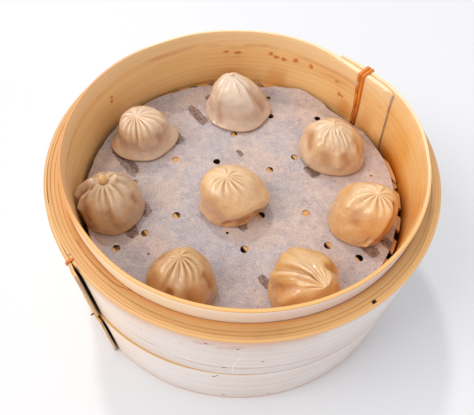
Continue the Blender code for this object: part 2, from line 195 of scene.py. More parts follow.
# The peg's (way out, radius) in mm, from inside the band to its rounded end
PEG_PROFILE = [(-1.6, 0.5), (-0.4, 0.55), (0.0, 0.6), (0.2, 0.5), (0.3, 0.25)]

# Camera and light
CAMERA_HEIGHT = 304.43 * MM
CAMERA_SETBACK = 180.26 * MM
CAMERA_DROP = 55.23                  # degrees below the horizon
CAMERA_HEADING = 0.70                # degrees from +Y towards -X
CAMERA_ROLL = 3.44
CAMERA_LENS = 35.56                  # millimetres, on a sensor 36 wide
# Each light's name, place, size, power and colour
LIGHTS = [
    ("window", (-2.4, -0.9, 2.6), 1.8, 55.0, (1.0, 0.97, 0.93)),
    ("lamp", (-0.5, 1.1, 1.9), 0.16, 11.0, (1.0, 0.98, 0.95)),
]
SKY_COLOR = (0.95, 0.97, 1.0, 1.0)
SKY_STRENGTH = 0.78
FLOOR_HALF = 4.0

# Dumplings. The lean shifts the crown's x and y by mm, and the tip shifts the very top's x, y, z
# by mm within a reach. The crown is its width as a share of the foot's, full is how full the dome
# is, and the flange is how sharply the skirt draws in to it. The knot is its height in mm and its
# reach. The knob is its neck's radius, its ball's radius and its height in mm. Each fold is a
# crease: (plan angle by the knot, bend on its way down, reach, depth in mm), where the reach runs
# from 0 at the knot to 1 at the foot. The skew says which side of a fold is steep, and soft how
# round the folds get on their way down. The foot bulges or draws in round a plan angle, over a
# spread in degrees, by a share of its radius. A mark is pressed into the dough, or drawn out of
# it, along a route of (plan angle, reach) points, with a width and a depth in mm, and may name the
# way it is drawn. Warm, grey and skirt are the dough's tones, as shares, and deep is the share of
# painted shade over the whole piece.
DUMPLINGS = {
    "dumpling_1": dict(
        lean=(0.6, -4.4), tip=(-2.8, -0.2, 0.0, 0.5), crown=0.78, full=2.8, flange=2.2, skew=0.5,
        knot=(-0.6, 0.10), soft=0.8, warm=0.24, grey=0.3, deep=0.05, skirt=0.5, seed=13,
        folds=[(30, -10, 0.6, 1.2), (66, -6, 0.45, 0.9), (100, 4, 0.4, 0.9), (146, 2, 0.45, 1.0),
               (180, 6, 0.56, 1.7), (207, 8, 0.56, 1.2), (230, 8, 0.6, 1.8), (251, 5, 0.7, 1.2),
               (268, 1, 0.74, 2.2), (289, -2, 0.56, 1.2), (309, -5, 0.6, 1.7),
               (334, -8, 0.56, 1.0), (2, -14, 0.64, 1.9)],
        foot=[(202, 26, 0.1), (12, 22, 0.04), (318, 20, -0.04)],
        marks=[([(323, 0.54), (326, 0.64)], 3.6, -1.6), ([(348, 0.5), (350, 0.62)], 2.6, -1.0),
               ([(262, 0.6), (264, 0.7)], 2.2, -0.9), ([(232, 0.62), (238, 0.7)], 2.6, -0.8),
               ([(276, 0.62), (284, 0.78)], 4.0, 1.1), ([(308, 0.62)], 3.0, 0.8),
               ([(340, 0.3), (352, 0.46)], 5.0, 1.0), ([(4, 0.8), (20, 0.78)], 5.0, 1.2),
               ([(190, 0.78), (204, 0.8)], 4.0, 1.0), ([(246, 0.82), (256, 0.84)], 3.0, 0.5)]),
    "dumpling_2": dict(
        lean=(-5.0, 3.0), crown=0.84, full=1.55, flange=1.8, skew=0.55, knot=(2.0, 0.06),
        soft=1.0, warm=0.14, grey=0.6, deep=0.0, skirt=0.25, seed=21,
        folds=[(14, -8, 0.6, 0.6), (60, -5, 0.5, 0.5), (110, 0, 0.5, 0.5), (158, 5, 0.5, 0.6),
               (208, 10, 0.8, 1.1), (240, 2, 0.45, 0.6), (278, -4, 0.34, 0.4),
               (304, -8, 0.5, 0.9), (338, -10, 0.74, 1.2)],
        foot=[(230, 22, 0.02), (350, 20, 0.04)],
        marks=[([(232, 0.6), (236, 0.76), (238, 0.86)], 3.2, -1.1),
               ([(340, 0.42), (336, 0.6), (344, 0.76)], 3.4, -1.3),
               ([(318, 0.36), (312, 0.6)], 4.6, 1.0), ([(236, 0.3), (222, 0.58)], 3.2, 0.8),
               ([(288, 0.2), (284, 0.48)], 3.0, 0.6), ([(10, 0.78)], 5.0, 0.9)]),
    "dumpling_3": dict(
        lean=(-3.9, -0.8), crown=0.95, full=1.5, flange=1.3, skew=0.5, knot=(0.9, 0.07),
        soft=0.9, warm=0.46, grey=0.15, deep=0.05, skirt=0.35, seed=37,
        folds=[(22, -10, 0.5, 1.1), (64, -6, 0.45, 0.8), (108, 0, 0.4, 0.8),
               (150, 4, 0.42, 0.8), (184, 8, 0.5, 1.2), (212, 8, 0.5, 0.8), (238, 10, 0.55, 1.2),
               (262, 8, 0.5, 0.8), (284, 6, 0.6, 1.5), (308, -8, 0.56, 1.0),
               (326, -14, 0.6, 1.5), (350, -20, 0.5, 1.0)],
        foot=[(196, 18, 0.06), (250, 20, 0.0), (330, 26, 0.04)],
        marks=[([(190, 0.54), (200, 0.62), (208, 0.66)], 4.6, -1.8),
               ([(250, 0.62), (256, 0.74)], 4.6, -1.3), ([(294, 0.6), (298, 0.72)], 3.6, -1.3),
               ([(340, 0.5), (334, 0.62)], 3.6, -1.2), ([(226, 0.5), (226, 0.7)], 3.0, 1.0),
               ([(276, 0.56), (276, 0.74)], 2.8, 1.3), ([(316, 0.58), (312, 0.76)], 4.0, 1.2),
               ([(188, 0.74), (205, 0.78), (220, 0.82)], 3.4, 1.2),
               ([(270, 0.14), (260, 0.28), (266, 0.46)], 0.9, 0.5),
               ([(300, 0.14), (284, 0.28), (290, 0.5)], 1.0, 0.55),
               ([(334, 0.14), (308, 0.3), (304, 0.44)], 0.9, 0.5),
               ([(236, 0.16), (228, 0.3), (238, 0.42)], 0.9, 0.45),
               ([(356, 0.16), (334, 0.3), (322, 0.4)], 0.9, 0.45),
               ([(160, 0.5), (150, 0.64)], 4.0, 1.2)]),
    "dumpling_4": dict(
        lean=(-2.6, 3.4), crown=0.97, full=1.8, flange=1.5, skew=0.45, knot=(0.0, 0.1),
        knob=(2.6, 2.6, 4.3), soft=0.8, warm=0.42, grey=0.3, deep=0.58, skirt=0.0, seed=44,
        folds=[(28, -10, 0.62, 1.5), (66, -6, 0.55, 1.1), (104, 0, 0.5, 1.0), (140, 4, 0.5, 1.0),
               (178, 6, 0.36, 0.9), (212, 8, 0.62, 2.0), (242, 4, 0.46, 1.0),
               (264, 2, 0.5, 1.5), (290, -2, 0.8, 1.9), (318, -8, 0.5, 1.2),
               (350, -14, 0.6, 1.7)],
        foot=[(200, 20, -0.03)],
        marks=[([(282, 0.56), (288, 0.7), (296, 0.84)], 2.4, -1.1),
               ([(302, 0.46), (306, 0.66)], 4.8, 1.1), ([(352, 0.56), (350, 0.64)], 2.4, -1.5),
               ([(232, 0.56), (236, 0.72)], 3.4, -1.2), ([(258, 0.46), (266, 0.74)], 4.2, 1.1),
               ([(186, 0.12), (184, 0.3), (186, 0.46), (192, 0.56)], 1.7, 3.0),
               ([(199, 0.3), (198, 0.44), (202, 0.58)], 1.8, -2.6),
               ([(212, 0.3), (210, 0.5), (214, 0.62)], 1.8, 1.8),
               ([(8, 0.1), (26, 0.07)], 1.2, 4.8, (0.5, 0.3, 0.8))]),
    "dumpling_5": dict(
        lean=(-5.4, -0.5), crown=0.97, full=2.2, flange=1.2, skew=0.4, knot=(0.5, 0.06),
        soft=0.8, warm=0.6, grey=0.1, deep=0.1, skirt=0.0, seed=52,
        folds=[(16, -10, 0.4, 1.1), (56, -6, 0.34, 0.9), (98, 0, 0.32, 0.9),
               (140, 6, 0.36, 0.8), (178, 8, 0.36, 0.8), (206, 10, 0.4, 1.1), (232, 10, 0.4, 0.8),
               (257, 8, 0.56, 1.7), (284, 8, 0.48, 1.0), (308, 4, 0.54, 1.7),
               (336, 0, 0.5, 1.2), (356, -8, 0.42, 0.9)],
        foot=[(318, 34, -0.2), (203, 11, 0.12), (236, 24, 0.07), (20, 24, -0.03)],
        marks=[([(256, 0.9), (272, 0.8), (290, 0.73), (308, 0.71), (328, 0.78)], 1.8, -1.8),
               ([(272, 0.68), (296, 0.63), (320, 0.63), (340, 0.69), (354, 0.74)], 4.4, 1.7),
               ([(282, 0.84), (298, 0.79), (314, 0.82)], 1.5, -0.8),
               ([(350, 0.66)], 5.0, 0.8), ([(200, 0.88), (198, 0.96)], 1.2, -1.8),
               ([(212, 0.84), (230, 0.88)], 3.4, 1.1), ([(290, 0.9), (318, 0.88)], 5.0, -2.0)]),
    "dumpling_6": dict(
        lean=(5.4, 1.7), crown=0.97, full=2.2, flange=1.2, skew=0.4, knot=(0.4, 0.06),
        soft=0.85, warm=0.74, grey=0.0, deep=0.08, skirt=0.0, seed=66,
        folds=[(10, -10, 0.45, 1.1), (50, -8, 0.4, 0.9), (94, -4, 0.36, 0.8),
               (132, 6, 0.4, 0.9), (166, 8, 0.46, 1.1), (200, 12, 0.5, 1.7),
               (232, 10, 0.44, 1.2), (264, 14, 0.54, 1.8), (290, 10, 0.46, 1.1),
               (314, 2, 0.5, 1.6), (344, -6, 0.5, 1.1)],
        foot=[(250, 18, 0.02), (320, 20, -0.05)],
        marks=[([(338, 0.4), (324, 0.5), (310, 0.58), (302, 0.7), (300, 0.82)], 2.0, -2.8),
               ([(308, 0.42), (294, 0.56), (288, 0.7)], 3.6, 1.2),
               ([(228, 0.5), (236, 0.6)], 5.0, -1.4), ([(184, 0.4), (194, 0.5)], 3.4, 1.1),
               ([(276, 0.76), (274, 0.84), (266, 0.88)], 1.0, -0.9),
               ([(283, 0.8), (278, 0.9)], 1.6, 0.9), ([(236, 0.76), (262, 0.8)], 4.5, 1.0),
               ([(202, 0.5)], 1.1, 0.3), ([(205, 0.56)], 0.9, 0.25), ([(209, 0.63)], 1.2, 0.3),
               ([(202, 0.72)], 1.0, 0.25), ([(212, 0.76)], 1.3, 0.25), ([(197, 0.64)], 1.0, 0.2),
               ([(120, 0.6), (140, 0.62)], 4.5, 1.2), ([(20, 0.5), (4, 0.62)], 3.6, 0.9)]),
    "dumpling_7": dict(
        lean=(1.2, 3.6), tip=(-0.6, 2.2, -0.4, 0.4), crown=0.95, full=1.9, flange=1.2, skew=0.4,
        knot=(0.9, 0.06), soft=0.95, warm=0.74, grey=0.14, deep=0.66, skirt=0.0, seed=79,
        folds=[(60, -24, 0.42, 0.9), (104, 0, 0.36, 0.7), (140, 6, 0.36, 0.7),
               (172, 10, 0.42, 1.0), (206, 14, 0.42, 0.9), (240, 0, 0.6, 1.8),
               (278, -4, 0.4, 1.2), (310, -14, 0.5, 1.6), (342, -26, 0.48, 1.4),
               (16, -38, 0.44, 1.3)],
        foot=[],
        marks=[([(256, 0.5), (258, 0.62)], 3.0, -2.3), ([(294, 0.54), (296, 0.66)], 3.4, -1.6),
               ([(274, 0.46), (277, 0.66)], 3.6, 1.3), ([(316, 0.56), (318, 0.7)], 5.0, 1.1),
               ([(348, 0.46), (344, 0.66)], 2.2, -1.4), ([(78, 0.2), (72, 0.34)], 4.5, 1.2),
               ([(206, 0.5), (208, 0.7)], 5.0, -1.0), ([(150, 0.3), (150, 0.5)], 5.0, -1.0)]),
    "dumpling_8": dict(
        lean=(-1.4, 2.6), tip=(9.2, -12.6, -1.0, 0.62), crown=0.95, full=1.9, flange=1.2, skew=0.5,
        knot=(1.4, 0.05), soft=0.9, warm=0.86, grey=0.0, deep=0.34, skirt=0.0, seed=85,
        folds=[(56, 4, 0.28, 0.7), (84, 6, 0.26, 0.6), (108, 6, 0.3, 0.6), (134, 6, 0.34, 0.7),
               (166, 6, 0.72, 3.0), (204, -2, 0.4, 1.1), (246, -4, 0.42, 1.0), (326, 0, 0.4, 1.2)],
        foot=[(150, 20, 0.03)],
        marks=[([(150, 0.16), (146, 0.34), (142, 0.5)], 2.6, 1.9),
               ([(190, 0.3), (186, 0.5), (180, 0.66)], 2.8, 1.5),
               ([(206, 0.6), (196, 0.74)], 3.0, -1.5), ([(30, 0.34), (16, 0.5)], 3.6, -2.0),
               ([(110, 0.42), (120, 0.56)], 6.0, 1.5), ([(168, 0.74), (160, 0.86)], 3.0, -1.0),
               ([(224, 0.4), (214, 0.56)], 3.0, -1.3), ([(240, 0.5), (226, 0.7)], 2.6, 1.3),
               ([(128, 0.66), (134, 0.8)], 3.0, -0.9), ([(118, 0.7)], 1.2, 0.35),
               ([(112, 0.5)], 1.2, 0.4)]),
}
COLUMNS = 288                        # points round a dumpling
RINGS = 96                           # rings from its foot to its knot
FOOT_POINTS, SKIRT_POINTS, DOME_POINTS, BALL_POINTS = 40, 60, 400, 60
FINE_MARK = 2.3                      # width in mm up to which a mark goes on after the folds
FOOT_HELD = (0.93, 0.985)            # reaches between which the marks die out at the foot
SKIRT_EDGE = 0.07                    # height of the skirt's edge, as a share of the height
CROWN_START = 0.3                    # height where the crown rises out of the skirt
UNDERSIDE = (0.3, 0.6, 0.82)         # rings under the foot, as shares of the radius


# ---------------------------------------------------------------- node arithmetic

class Field:
    """A number that varies over a shape. Arithmetic on it adds Math nodes to its tree."""

    def __init__(self, tree, socket):
        self.tree = tree
        self.socket = socket

    def math(self, operation, *others):
        node = add_node(self.tree, "ShaderNodeMath", {"operation": operation})
        for slot, value in zip(node.inputs, (self, *others)):
            connect(self.tree, value, slot)
        return Field(self.tree, node.outputs[0])

    def __add__(self, other):
        return self.math("ADD", other)

    __radd__ = __add__

    def __sub__(self, other):
        return self.math("SUBTRACT", other)

    def __rsub__(self, other):
        return self * -1.0 + other

    def __mul__(self, other):
        return self.math("MULTIPLY", other)

    def __truediv__(self, other):
        return self.math("DIVIDE", other)

    def __pow__(self, other):
        return self.math("POWER", other)

    def ramp(self, low, high):
        """0 at low, easing to 1 at high, held outside."""
        node = add_node(self.tree, "ShaderNodeMapRange", {"interpolation_type": "SMOOTHSTEP"})
        for slot, value in zip(node.inputs, (self, low, high, 0.0, 1.0)):
            connect(self.tree, value, slot)
        return Field(self.tree, node.outputs[0])


def connect(tree, value, slot):
    """Link a field or a socket to a node's input, or set a plain value on it."""
    if isinstance(value, Field):
        tree.links.new(value.socket, slot)
    elif isinstance(value, bpy.types.NodeSocket):
        tree.links.new(value, slot)
    else:
        slot.default_value = value


def add_node(tree, kind, settings=(), **inputs):
    """A node with its properties set and its inputs linked or filled, found by name."""
    node = tree.nodes.new(kind)
    for name, value in dict(settings).items():
        setattr(node, name, value)
    for name, value in inputs.items():
        connect(tree, value, node.inputs[name.replace("_", " ")])
    return node


def axes(tree, vector):
    """The x, y and z of a vector."""
    parts = add_node(tree, "ShaderNodeSeparateXYZ", Vector=vector)
    return [Field(tree, parts.outputs[axis]) for axis in "XYZ"]


def joined(tree, x=0.0, y=0.0, z=0.0):
    """A vector made of its x, y and z."""
    return add_node(tree, "ShaderNodeCombineXYZ", X=x, Y=y, Z=z).outputs["Vector"]


def vector_math(tree, operation, first, second):
    """Arithmetic on two vectors, axis by axis."""
    node = add_node(tree, "ShaderNodeVectorMath", {"operation": operation})
    for slot, value in zip(node.inputs, (first, second)):
        connect(tree, value, slot)
    return node.outputs["Vector"]


def from_axis(x, y):
    """Distance from the basket's upright axis."""
    return (x * x + y * y).math("SQRT")


def noise(tree, vector, scale, detail=3.0, roughness=0.5):
    node = add_node(tree, "ShaderNodeTexNoise", Vector=vector, Scale=scale, Detail=detail,
                    Roughness=roughness)
    return Field(tree, node.outputs["Fac"])


# ---------------------------------------------------------------- geometry node trees

def geometry_tree(name, **inputs):
    """A tree that takes a mesh, named sizes and a material. Returns it and its input sockets."""
    tree = bpy.data.node_groups.new(name, "GeometryNodeTree")
    tree.interface.new_socket("Geometry", in_out="INPUT", socket_type="NodeSocketGeometry")
    for label, default in inputs.items():
        socket = tree.interface.new_socket(label.replace("_", " "), in_out="INPUT",
                                           socket_type="NodeSocketFloat")
        socket.default_value = default
    tree.interface.new_socket("Material", in_out="INPUT", socket_type="NodeSocketMaterial")
    tree.interface.new_socket("Geometry", in_out="OUTPUT", socket_type="NodeSocketGeometry")
    return tree, tree.nodes.new("NodeGroupInput").outputs


def close_tree(tree, geometry, material):
    """End a tree: its instances made real, and its material on every face."""
    realized = add_node(tree, "GeometryNodeRealizeInstances", Geometry=geometry)
    dressed = add_node(tree, "GeometryNodeSetMaterial", Geometry=realized.outputs["Geometry"],
                       Material=material)
    add_node(tree, "NodeGroupOutput", Geometry=dressed.outputs["Geometry"])


def named_number(tree, name):
    node = add_node(tree, "GeometryNodeInputNamedAttribute", {"data_type": "FLOAT"}, Name=name)
    return Field(tree, node.outputs["Attribute"])


def store_number(tree, geometry, name, value, domain="POINT"):
    node = add_node(tree, "GeometryNodeStoreNamedAttribute",
                    {"data_type": "FLOAT", "domain": domain}, Geometry=geometry, Name=name,
                    Value=value)
    return node.outputs["Geometry"]


def position(tree):
    return add_node(tree, "GeometryNodeInputPosition").outputs["Position"]


def moved(tree, geometry, **where):
    """The geometry with its points at a Position, or moved by an Offset."""
    node = add_node(tree, "GeometryNodeSetPosition", Geometry=geometry, **where)
    return node.outputs["Geometry"]


def keep_place(tree, geometry, label):
    """Remember where each point is. Returns the geometry and the remembered place."""
    held = add_node(tree, "GeometryNodeCaptureAttribute", {"domain": "POINT"}, Geometry=geometry)
    held.capture_items.new("VECTOR", label)
    tree.links.new(position(tree), held.inputs[1])
    return held.outputs[0], held.outputs[1]


def sweep_section(tree, path, width, height, rounding, corner_points):
    """Sweep a round-edged oblong along a path. Returns the mesh, each point's place on the path
    and its place in the section."""
    chain = add_node(tree, "GeometryNodeMeshToCurve", Mesh=path)
    spine, on_path = keep_place(tree, chain.outputs["Curve"], "Path")
    oblong = add_node(tree, "GeometryNodeCurvePrimitiveQuadrilateral", Width=width, Height=height)
    rounded = add_node(tree, "GeometryNodeFilletCurve", {"mode": "POLY"},
                       Curve=oblong.outputs["Curve"], Radius=rounding, Count=corner_points)
    section, in_section = keep_place(tree, rounded.outputs["Curve"], "Section")
    swept = add_node(tree, "GeometryNodeCurveToMesh", Curve=spine, Profile_Curve=section,
                     Fill_Caps=True)
    return swept.outputs["Mesh"], on_path, in_section


def wound_strip_tree():
    """A strip of bamboo on edge. Its path gives the inner and outer radius all along."""
    tree, given = geometry_tree("wound_strip", Foot=0.0, Top=0.1, Edge_Round=0.0006, Wander=0.0001)
    nominal = 2.0 * MM
    height = Field(tree, given["Top"]) - given["Foot"]
    swept, spoke, in_section = sweep_section(tree, given["Geometry"], nominal, height,
                                             given["Edge Round"], 3)
    side, rise, _ = axes(tree, in_section)
    across = side / nominal + 0.5
    up = rise / height + 0.5
    inner, outer, cut = (named_number(tree, name) for name in ("inner", "outer", "cut"))
    sway = (noise(tree, spoke, 3.1, 2.0) - 0.5) * given["Wander"]
    radius = inner + across * (outer - inner) + sway
    level = up * height + given["Foot"] - up * (cut + sway.math("ABSOLUTE"))
    east, north, _ = axes(tree, spoke)
    wound = moved(tree, swept, Position=joined(tree, east * radius, north * radius, level))
    close_tree(tree, wound, given["Material"])
    return tree


def strand_tree():
    """A flat split strand laid along a path that knows which way its face points."""
    tree, given = geometry_tree("flat_strand", Width=0.003, Thickness=0.001, Wander=0.0002)
    rounding = Field(tree, given["Thickness"]) * 0.42
    swept, on_path, in_section = sweep_section(tree, given["Geometry"], given["Width"],
                                               given["Thickness"], rounding, 4)
    sway = (noise(tree, on_path, 160.0, 1.0) - 0.5) * given["Wander"]
    wide, thick, _ = axes(tree, in_section)
    side = wide * named_number(tree, "spread") + sway
    lift = thick * named_number(tree, "fullness") + sway
    x, y, z = axes(tree, on_path)
    radius = from_axis(x, y)
    outward = lift * named_number(tree, "face_out")
    place_on_wall = joined(tree, x + (x * outward - y * side) / radius,
                           y + (y * outward + x * side) / radius,
                           z + lift * named_number(tree, "face_up"))
    close_tree(tree, moved(tree, swept, Position=place_on_wall), given["Material"])
    return tree


def slat_tree():
    """Flat slats side by side across a round opening, their ends following its edge."""
    tree, given = geometry_tree("slat_row", Width=0.008, Thickness=0.002, Reach=0.0968,
                                Longer=0.0, Wobble=0.0003)
    one = add_node(tree, "GeometryNodeMeshGrid", Size_X=1.0, Size_Y=1.0, Vertices_X=61,
                   Vertices_Y=5)
    seats = add_node(tree, "GeometryNodeMeshToPoints", Mesh=given["Geometry"])
    row = add_node(tree, "GeometryNodeInstanceOnPoints", Points=seats.outputs["Points"],
                   Instance=one.outputs["Mesh"])
    index = add_node(tree, "GeometryNodeInputIndex").outputs["Index"]
    numbered = store_number(tree, row.outputs["Instances"], "piece", index, "INSTANCE")
    flat = add_node(tree, "GeometryNodeRealizeInstances", Geometry=numbered)
    x, y, _ = axes(tree, position(tree))
    piece = named_number(tree, "piece")
    seat = named_number(tree, "seat")
    share = x * 2.0
    crooked = (piece * 2.4).math("SINE") * given["Wobble"] * share
    across = seat + (y - seat) * given["Width"] + crooked
    reach = Field(tree, given["Reach"]) + share.math("GREATER_THAN", 0.0) * given["Longer"]
    chord = (reach * reach - across * across).math("SQRT")
    sag = (share * 3.0 + piece * 1.7).math("SINE") * given["Wobble"] * 0.4
    laid = moved(tree, flat.outputs["Geometry"], Position=joined(tree, share * chord, across, sag))
    solid = add_node(tree, "GeometryNodeExtrudeMesh", {"mode": "FACES"}, Mesh=laid,
                     Offset_Scale=given["Thickness"], Individual=False)
    close_tree(tree, solid.outputs["Mesh"], given["Material"])
    return tree


def liner_tree():
    """Punches round holes through a sheet and lets it sink between the slats under it."""
    tree, given = geometry_tree("punched_sheet", Depth=0.004, Sag=0.0003, Pitch=0.0136,
                                Width=0.008, Phase=0.0, Crinkle=0.0002, Heading=0.0)
    hole = named_number(tree, "hole")
    split = add_node(tree, "GeometryNodeSeparateGeometry", {"domain": "POINT"},
                     Geometry=given["Geometry"], Selection=hole)
    drill = add_node(tree, "GeometryNodeMeshCylinder", {"fill_type": "NGON"}, Vertices=24,
                     Radius=0.5, Depth=given["Depth"])
    drills = add_node(tree, "GeometryNodeInstanceOnPoints", Points=split.outputs["Selection"],
                      Instance=drill.outputs["Mesh"], Scale=joined(tree, hole, hole, 1.0))
    solid_drills = add_node(tree, "GeometryNodeRealizeInstances",
                            Geometry=drills.outputs["Instances"])
    punched = add_node(tree, "GeometryNodeMeshBoolean",
                       {"operation": "DIFFERENCE", "solver": "EXACT"},
                       Mesh_1=split.outputs["Inverted"], Mesh_2=solid_drills.outputs["Geometry"])

    at = position(tree)
    turned = add_node(tree, "ShaderNodeVectorRotate", {"rotation_type": "Z_AXIS"}, Vector=at,
                      Angle=given["Heading"])
    along_row = (axes(tree, turned.outputs["Vector"])[1] - given["Phase"]) / given["Pitch"]
    from_slat = (along_row - along_row.math("ROUND")).math("ABSOLUTE") * given["Pitch"]
    sunk = from_slat.ramp(Field(tree, given["Width"]) * 0.5, Field(tree, given["Pitch"]) * 0.5)
    coarse = noise(tree, at, 38.0, 1.5)
    crinkle = coarse * 0.75 + noise(tree, at, 210.0, 2.0) * 0.25
    loose = coarse.ramp(0.42, 0.62)
    rise = crinkle * given["Crinkle"] - sunk * loose * given["Sag"] + named_number(tree, "lift")
    laid = moved(tree, punched.outputs["Mesh"], Offset=joined(tree, z=rise))
    close_tree(tree, laid, given["Material"])
    return tree


def pleat_tree():
    """Presses the folds into a dome of dough: round crests with a steep crease between them."""
    tree, given = geometry_tree("pleated_dough", Skew=0.45, Soft=0.7, Knot_Height=0.0006,
                                Knot_Width=0.1, Lump=0.0004, Lump_Scale=90.0)
    share, strength, along = (named_number(tree, name) for name in ("share", "strength", "along"))
    skew = Field(tree, given["Skew"])
    inside = share * 0.96 + 0.02
    near = inside ** skew
    far = (1.0 - inside) ** (1.25 - skew)
    tight = ((near * far - 0.14) * 2.75).math("MINIMUM", 1.0)
    bent = share ** (skew * 2.0)
    loose = 0.5 - (bent * math.tau).math("COSINE") * 0.5
    crest = tight + (loose - tight) * (along.ramp(0.06, 0.34) * given["Soft"])
    relief = strength * (crest - 0.6)
    knot = (1.0 - along.ramp(0.0, given["Knot Width"])) * given["Knot Height"]
    lump = noise(tree, position(tree), given["Lump Scale"], 2.0) - 0.5
    lump = lump * given["Lump"] * along.ramp(0.1, 0.4)
    normal = add_node(tree, "GeometryNodeInputNormal").outputs["Normal"]
    push = add_node(tree, "ShaderNodeVectorMath", {"operation": "SCALE"}, Vector=normal,
                    Scale=relief + knot + lump)
    gathered = moved(tree, given["Geometry"], Offset=push.outputs["Vector"])
    # Painted shade for the creases and painted highlight for the crests, kept for the material
    grooved = store_number(tree, gathered, "groove_shade", ((1.0 - crest) ** 1.3) * strength / MM)
    ridged = store_number(tree, grooved, "ridge_highlight", (crest ** 2.0) * strength / MM)
    close_tree(tree, ridged, given["Material"])
    return tree


# ---------------------------------------------------------------- pieces and their meshes

def place(name, mesh):
    piece = bpy.data.objects.new(name, mesh)
    bpy.context.scene.collection.objects.link(piece)
    return piece


def grow(name, tree, mesh, material, **sizes):
    """Run a tree on a mesh and keep its result as a plain piece at the origin."""
    given = {"Material": material, **sizes}
    seedling = place(name + "_base", mesh)
    modifier = seedling.modifiers.new("grow", "NODES")
    modifier.node_group = tree
    for item in tree.interface.items_tree:
        label = item.name.replace(" ", "_")
        if item.in_out == "INPUT" and label in given:
            modifier[item.identifier] = given[label]
    bpy.context.view_layer.update()
    evaluated = seedling.evaluated_get(bpy.context.evaluated_depsgraph_get())
    grown = bpy.data.meshes.new_from_object(evaluated)
    seedling.modifiers.remove(modifier)
    bpy.data.objects.remove(seedling, do_unlink=True)
    grown.name = name
    grown.materials.clear()
    grown.materials.append(material)
    grown.polygons.foreach_set("material_index", [0] * len(grown.polygons))
    return place(name, grown)


def close_skin(piece, crease=38.0):
    """Turn the faces outwards and shade the piece smooth up to its real edges."""
    mesh = piece.data
    builder = bmesh.new()
    builder.from_mesh(mesh)
    bmesh.ops.recalc_face_normals(builder, faces=builder.faces)
    builder.to_mesh(mesh)
    builder.free()
    facing = mesh.attributes.new("facing", "FLOAT_VECTOR", "FACE")
    facing.data.foreach_set("vector", [axis for face in mesh.polygons for axis in face.normal])
    mesh.shade_smooth()
    mesh.set_sharp_from_angle(angle=math.radians(crease))


def round_edges(piece, width, segments):
    """Bevel a piece's real edges in its mesh."""
    builder = bmesh.new()
    builder.from_mesh(piece.data)
    bmesh.ops.remove_doubles(builder, verts=builder.verts, dist=1e-7)
    bmesh.ops.recalc_face_normals(builder, faces=builder.faces)
    corners = [edge for edge in builder.edges
               if len(edge.link_faces) == 2 and edge.calc_face_angle() > math.radians(50.0)]
    bmesh.ops.bevel(builder, geom=corners, offset=width, segments=segments, profile=0.6,
                    affect="EDGES", clamp_overlap=True)
    builder.to_mesh(piece.data)
    builder.free()


def finish_piece(piece, slot, *replaced):
    """Every piece rides on the basket's one body."""
    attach(piece, "root")
    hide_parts(*replaced)


def mesh_points(mesh):
    flat = np.empty(len(mesh.vertices) * 3)
    mesh.vertices.foreach_get("co", flat)
    return flat.reshape(-1, 3)


def mesh_normals(mesh):
    flat = np.empty(len(mesh.vertices) * 3, dtype=np.float32)
    mesh.vertex_normals.foreach_get("vector", flat)
    return flat.reshape(-1, 3)


def mesh_numbers(mesh, name):
    values = np.empty(len(mesh.vertices), dtype=np.float32)
    mesh.attributes[name].data.foreach_get("value", values)
    return values


def write_numbers(mesh, **columns):
    """Give a mesh's points named numbers."""
    for name, values in columns.items():
        held = mesh.attributes.get(name) or mesh.attributes.new(name, "FLOAT", "POINT")
        held.data.foreach_set("value", np.asarray(values, dtype=np.float32))


def plan_point(radius, degrees, height=0.0):
    turn = math.radians(degrees)
    return (radius * math.cos(turn), radius * math.sin(turn), height)


def smooth(value, low, high):
    """0 at low, easing to 1 at high, for one value."""
    share = min(max((value - low) / (high - low), 0.0), 1.0)
    return share * share * (3.0 - 2.0 * share)


def ease(values, low, high):
    """0 at low, easing to 1 at high, for a row of values."""
    share = np.clip((values - low) / (high - low), 0.0, 1.0)
    return share * share * (3.0 - 2.0 * share)


def at_station(stations, degrees):
    """Values in metres at a plan angle, eased from one station to the next."""
    for start, end in zip(stations, stations[1:]):
        if degrees <= end[0]:
            break
    share = smooth(degrees, start[0], end[0])
    return [(a + (b - a) * share) * MM for a, b in zip(start[1:], end[1:])]


# ---------------------------------------------------------------- shader node groups

def shader_group(name, outputs, **inputs):
    """A group that puts out numbers. Returns its tree, its input sockets and its results."""
    group = bpy.data.node_groups.new(name, "ShaderNodeTree")
    for label, default in inputs.items():
        kind = "NodeSocketVector" if isinstance(default, tuple) else "NodeSocketFloat"
        socket = group.interface.new_socket(label.replace("_", " "), in_out="INPUT",
                                            socket_type=kind)
        socket.default_value = default
    for label in outputs:
        group.interface.new_socket(label, in_out="OUTPUT", socket_type="NodeSocketFloat")
    source = group.nodes.new("NodeGroupInput")
    drain = group.nodes.new("NodeGroupOutput")
    return group, source.outputs, drain.inputs


def use_group(tree, group, **inputs):
    node = add_node(tree, "ShaderNodeGroup", {"node_tree": group}, **inputs)
    return {socket.name: Field(tree, socket) for socket in node.outputs}


def object_point(tree):
    return add_node(tree, "ShaderNodeTexCoord").outputs["Object"]


def ring_grain_group():
    """Bamboo fibres that run round the basket, on upright faces and on edges alike."""
    group, given, result = shader_group("ring_grain", ("Fibre", "Streak", "Cloud"),
                                        Fineness=1.0, Waviness=0.4)
    point = object_point(group)
    x, y, z = axes(group, point)
    waver = (noise(group, point, 22.0, 1.0) - 0.5) * Field(group, given["Waviness"]) * 0.004
    level = (z + from_axis(x, y) * 1.7 + waver) * given["Fineness"]
    broad, fine, thin = (joined(group, x * along, y * along, level * across)
                         for along, across in ((3.0, 230.0), (6.0, 900.0), (9.0, 1900.0)))
    fibre = noise(group, fine, 1.0, 2.0, 0.6) * 0.55 + noise(group, thin, 1.0, 1.0, 0.6) * 0.45
    connect(group, fibre, result["Fibre"])
    connect(group, noise(group, broad, 1.0, 3.0, 0.55), result["Streak"])
    connect(group, noise(group, point, 17.0, 3.0, 0.55), result["Cloud"])
    return group


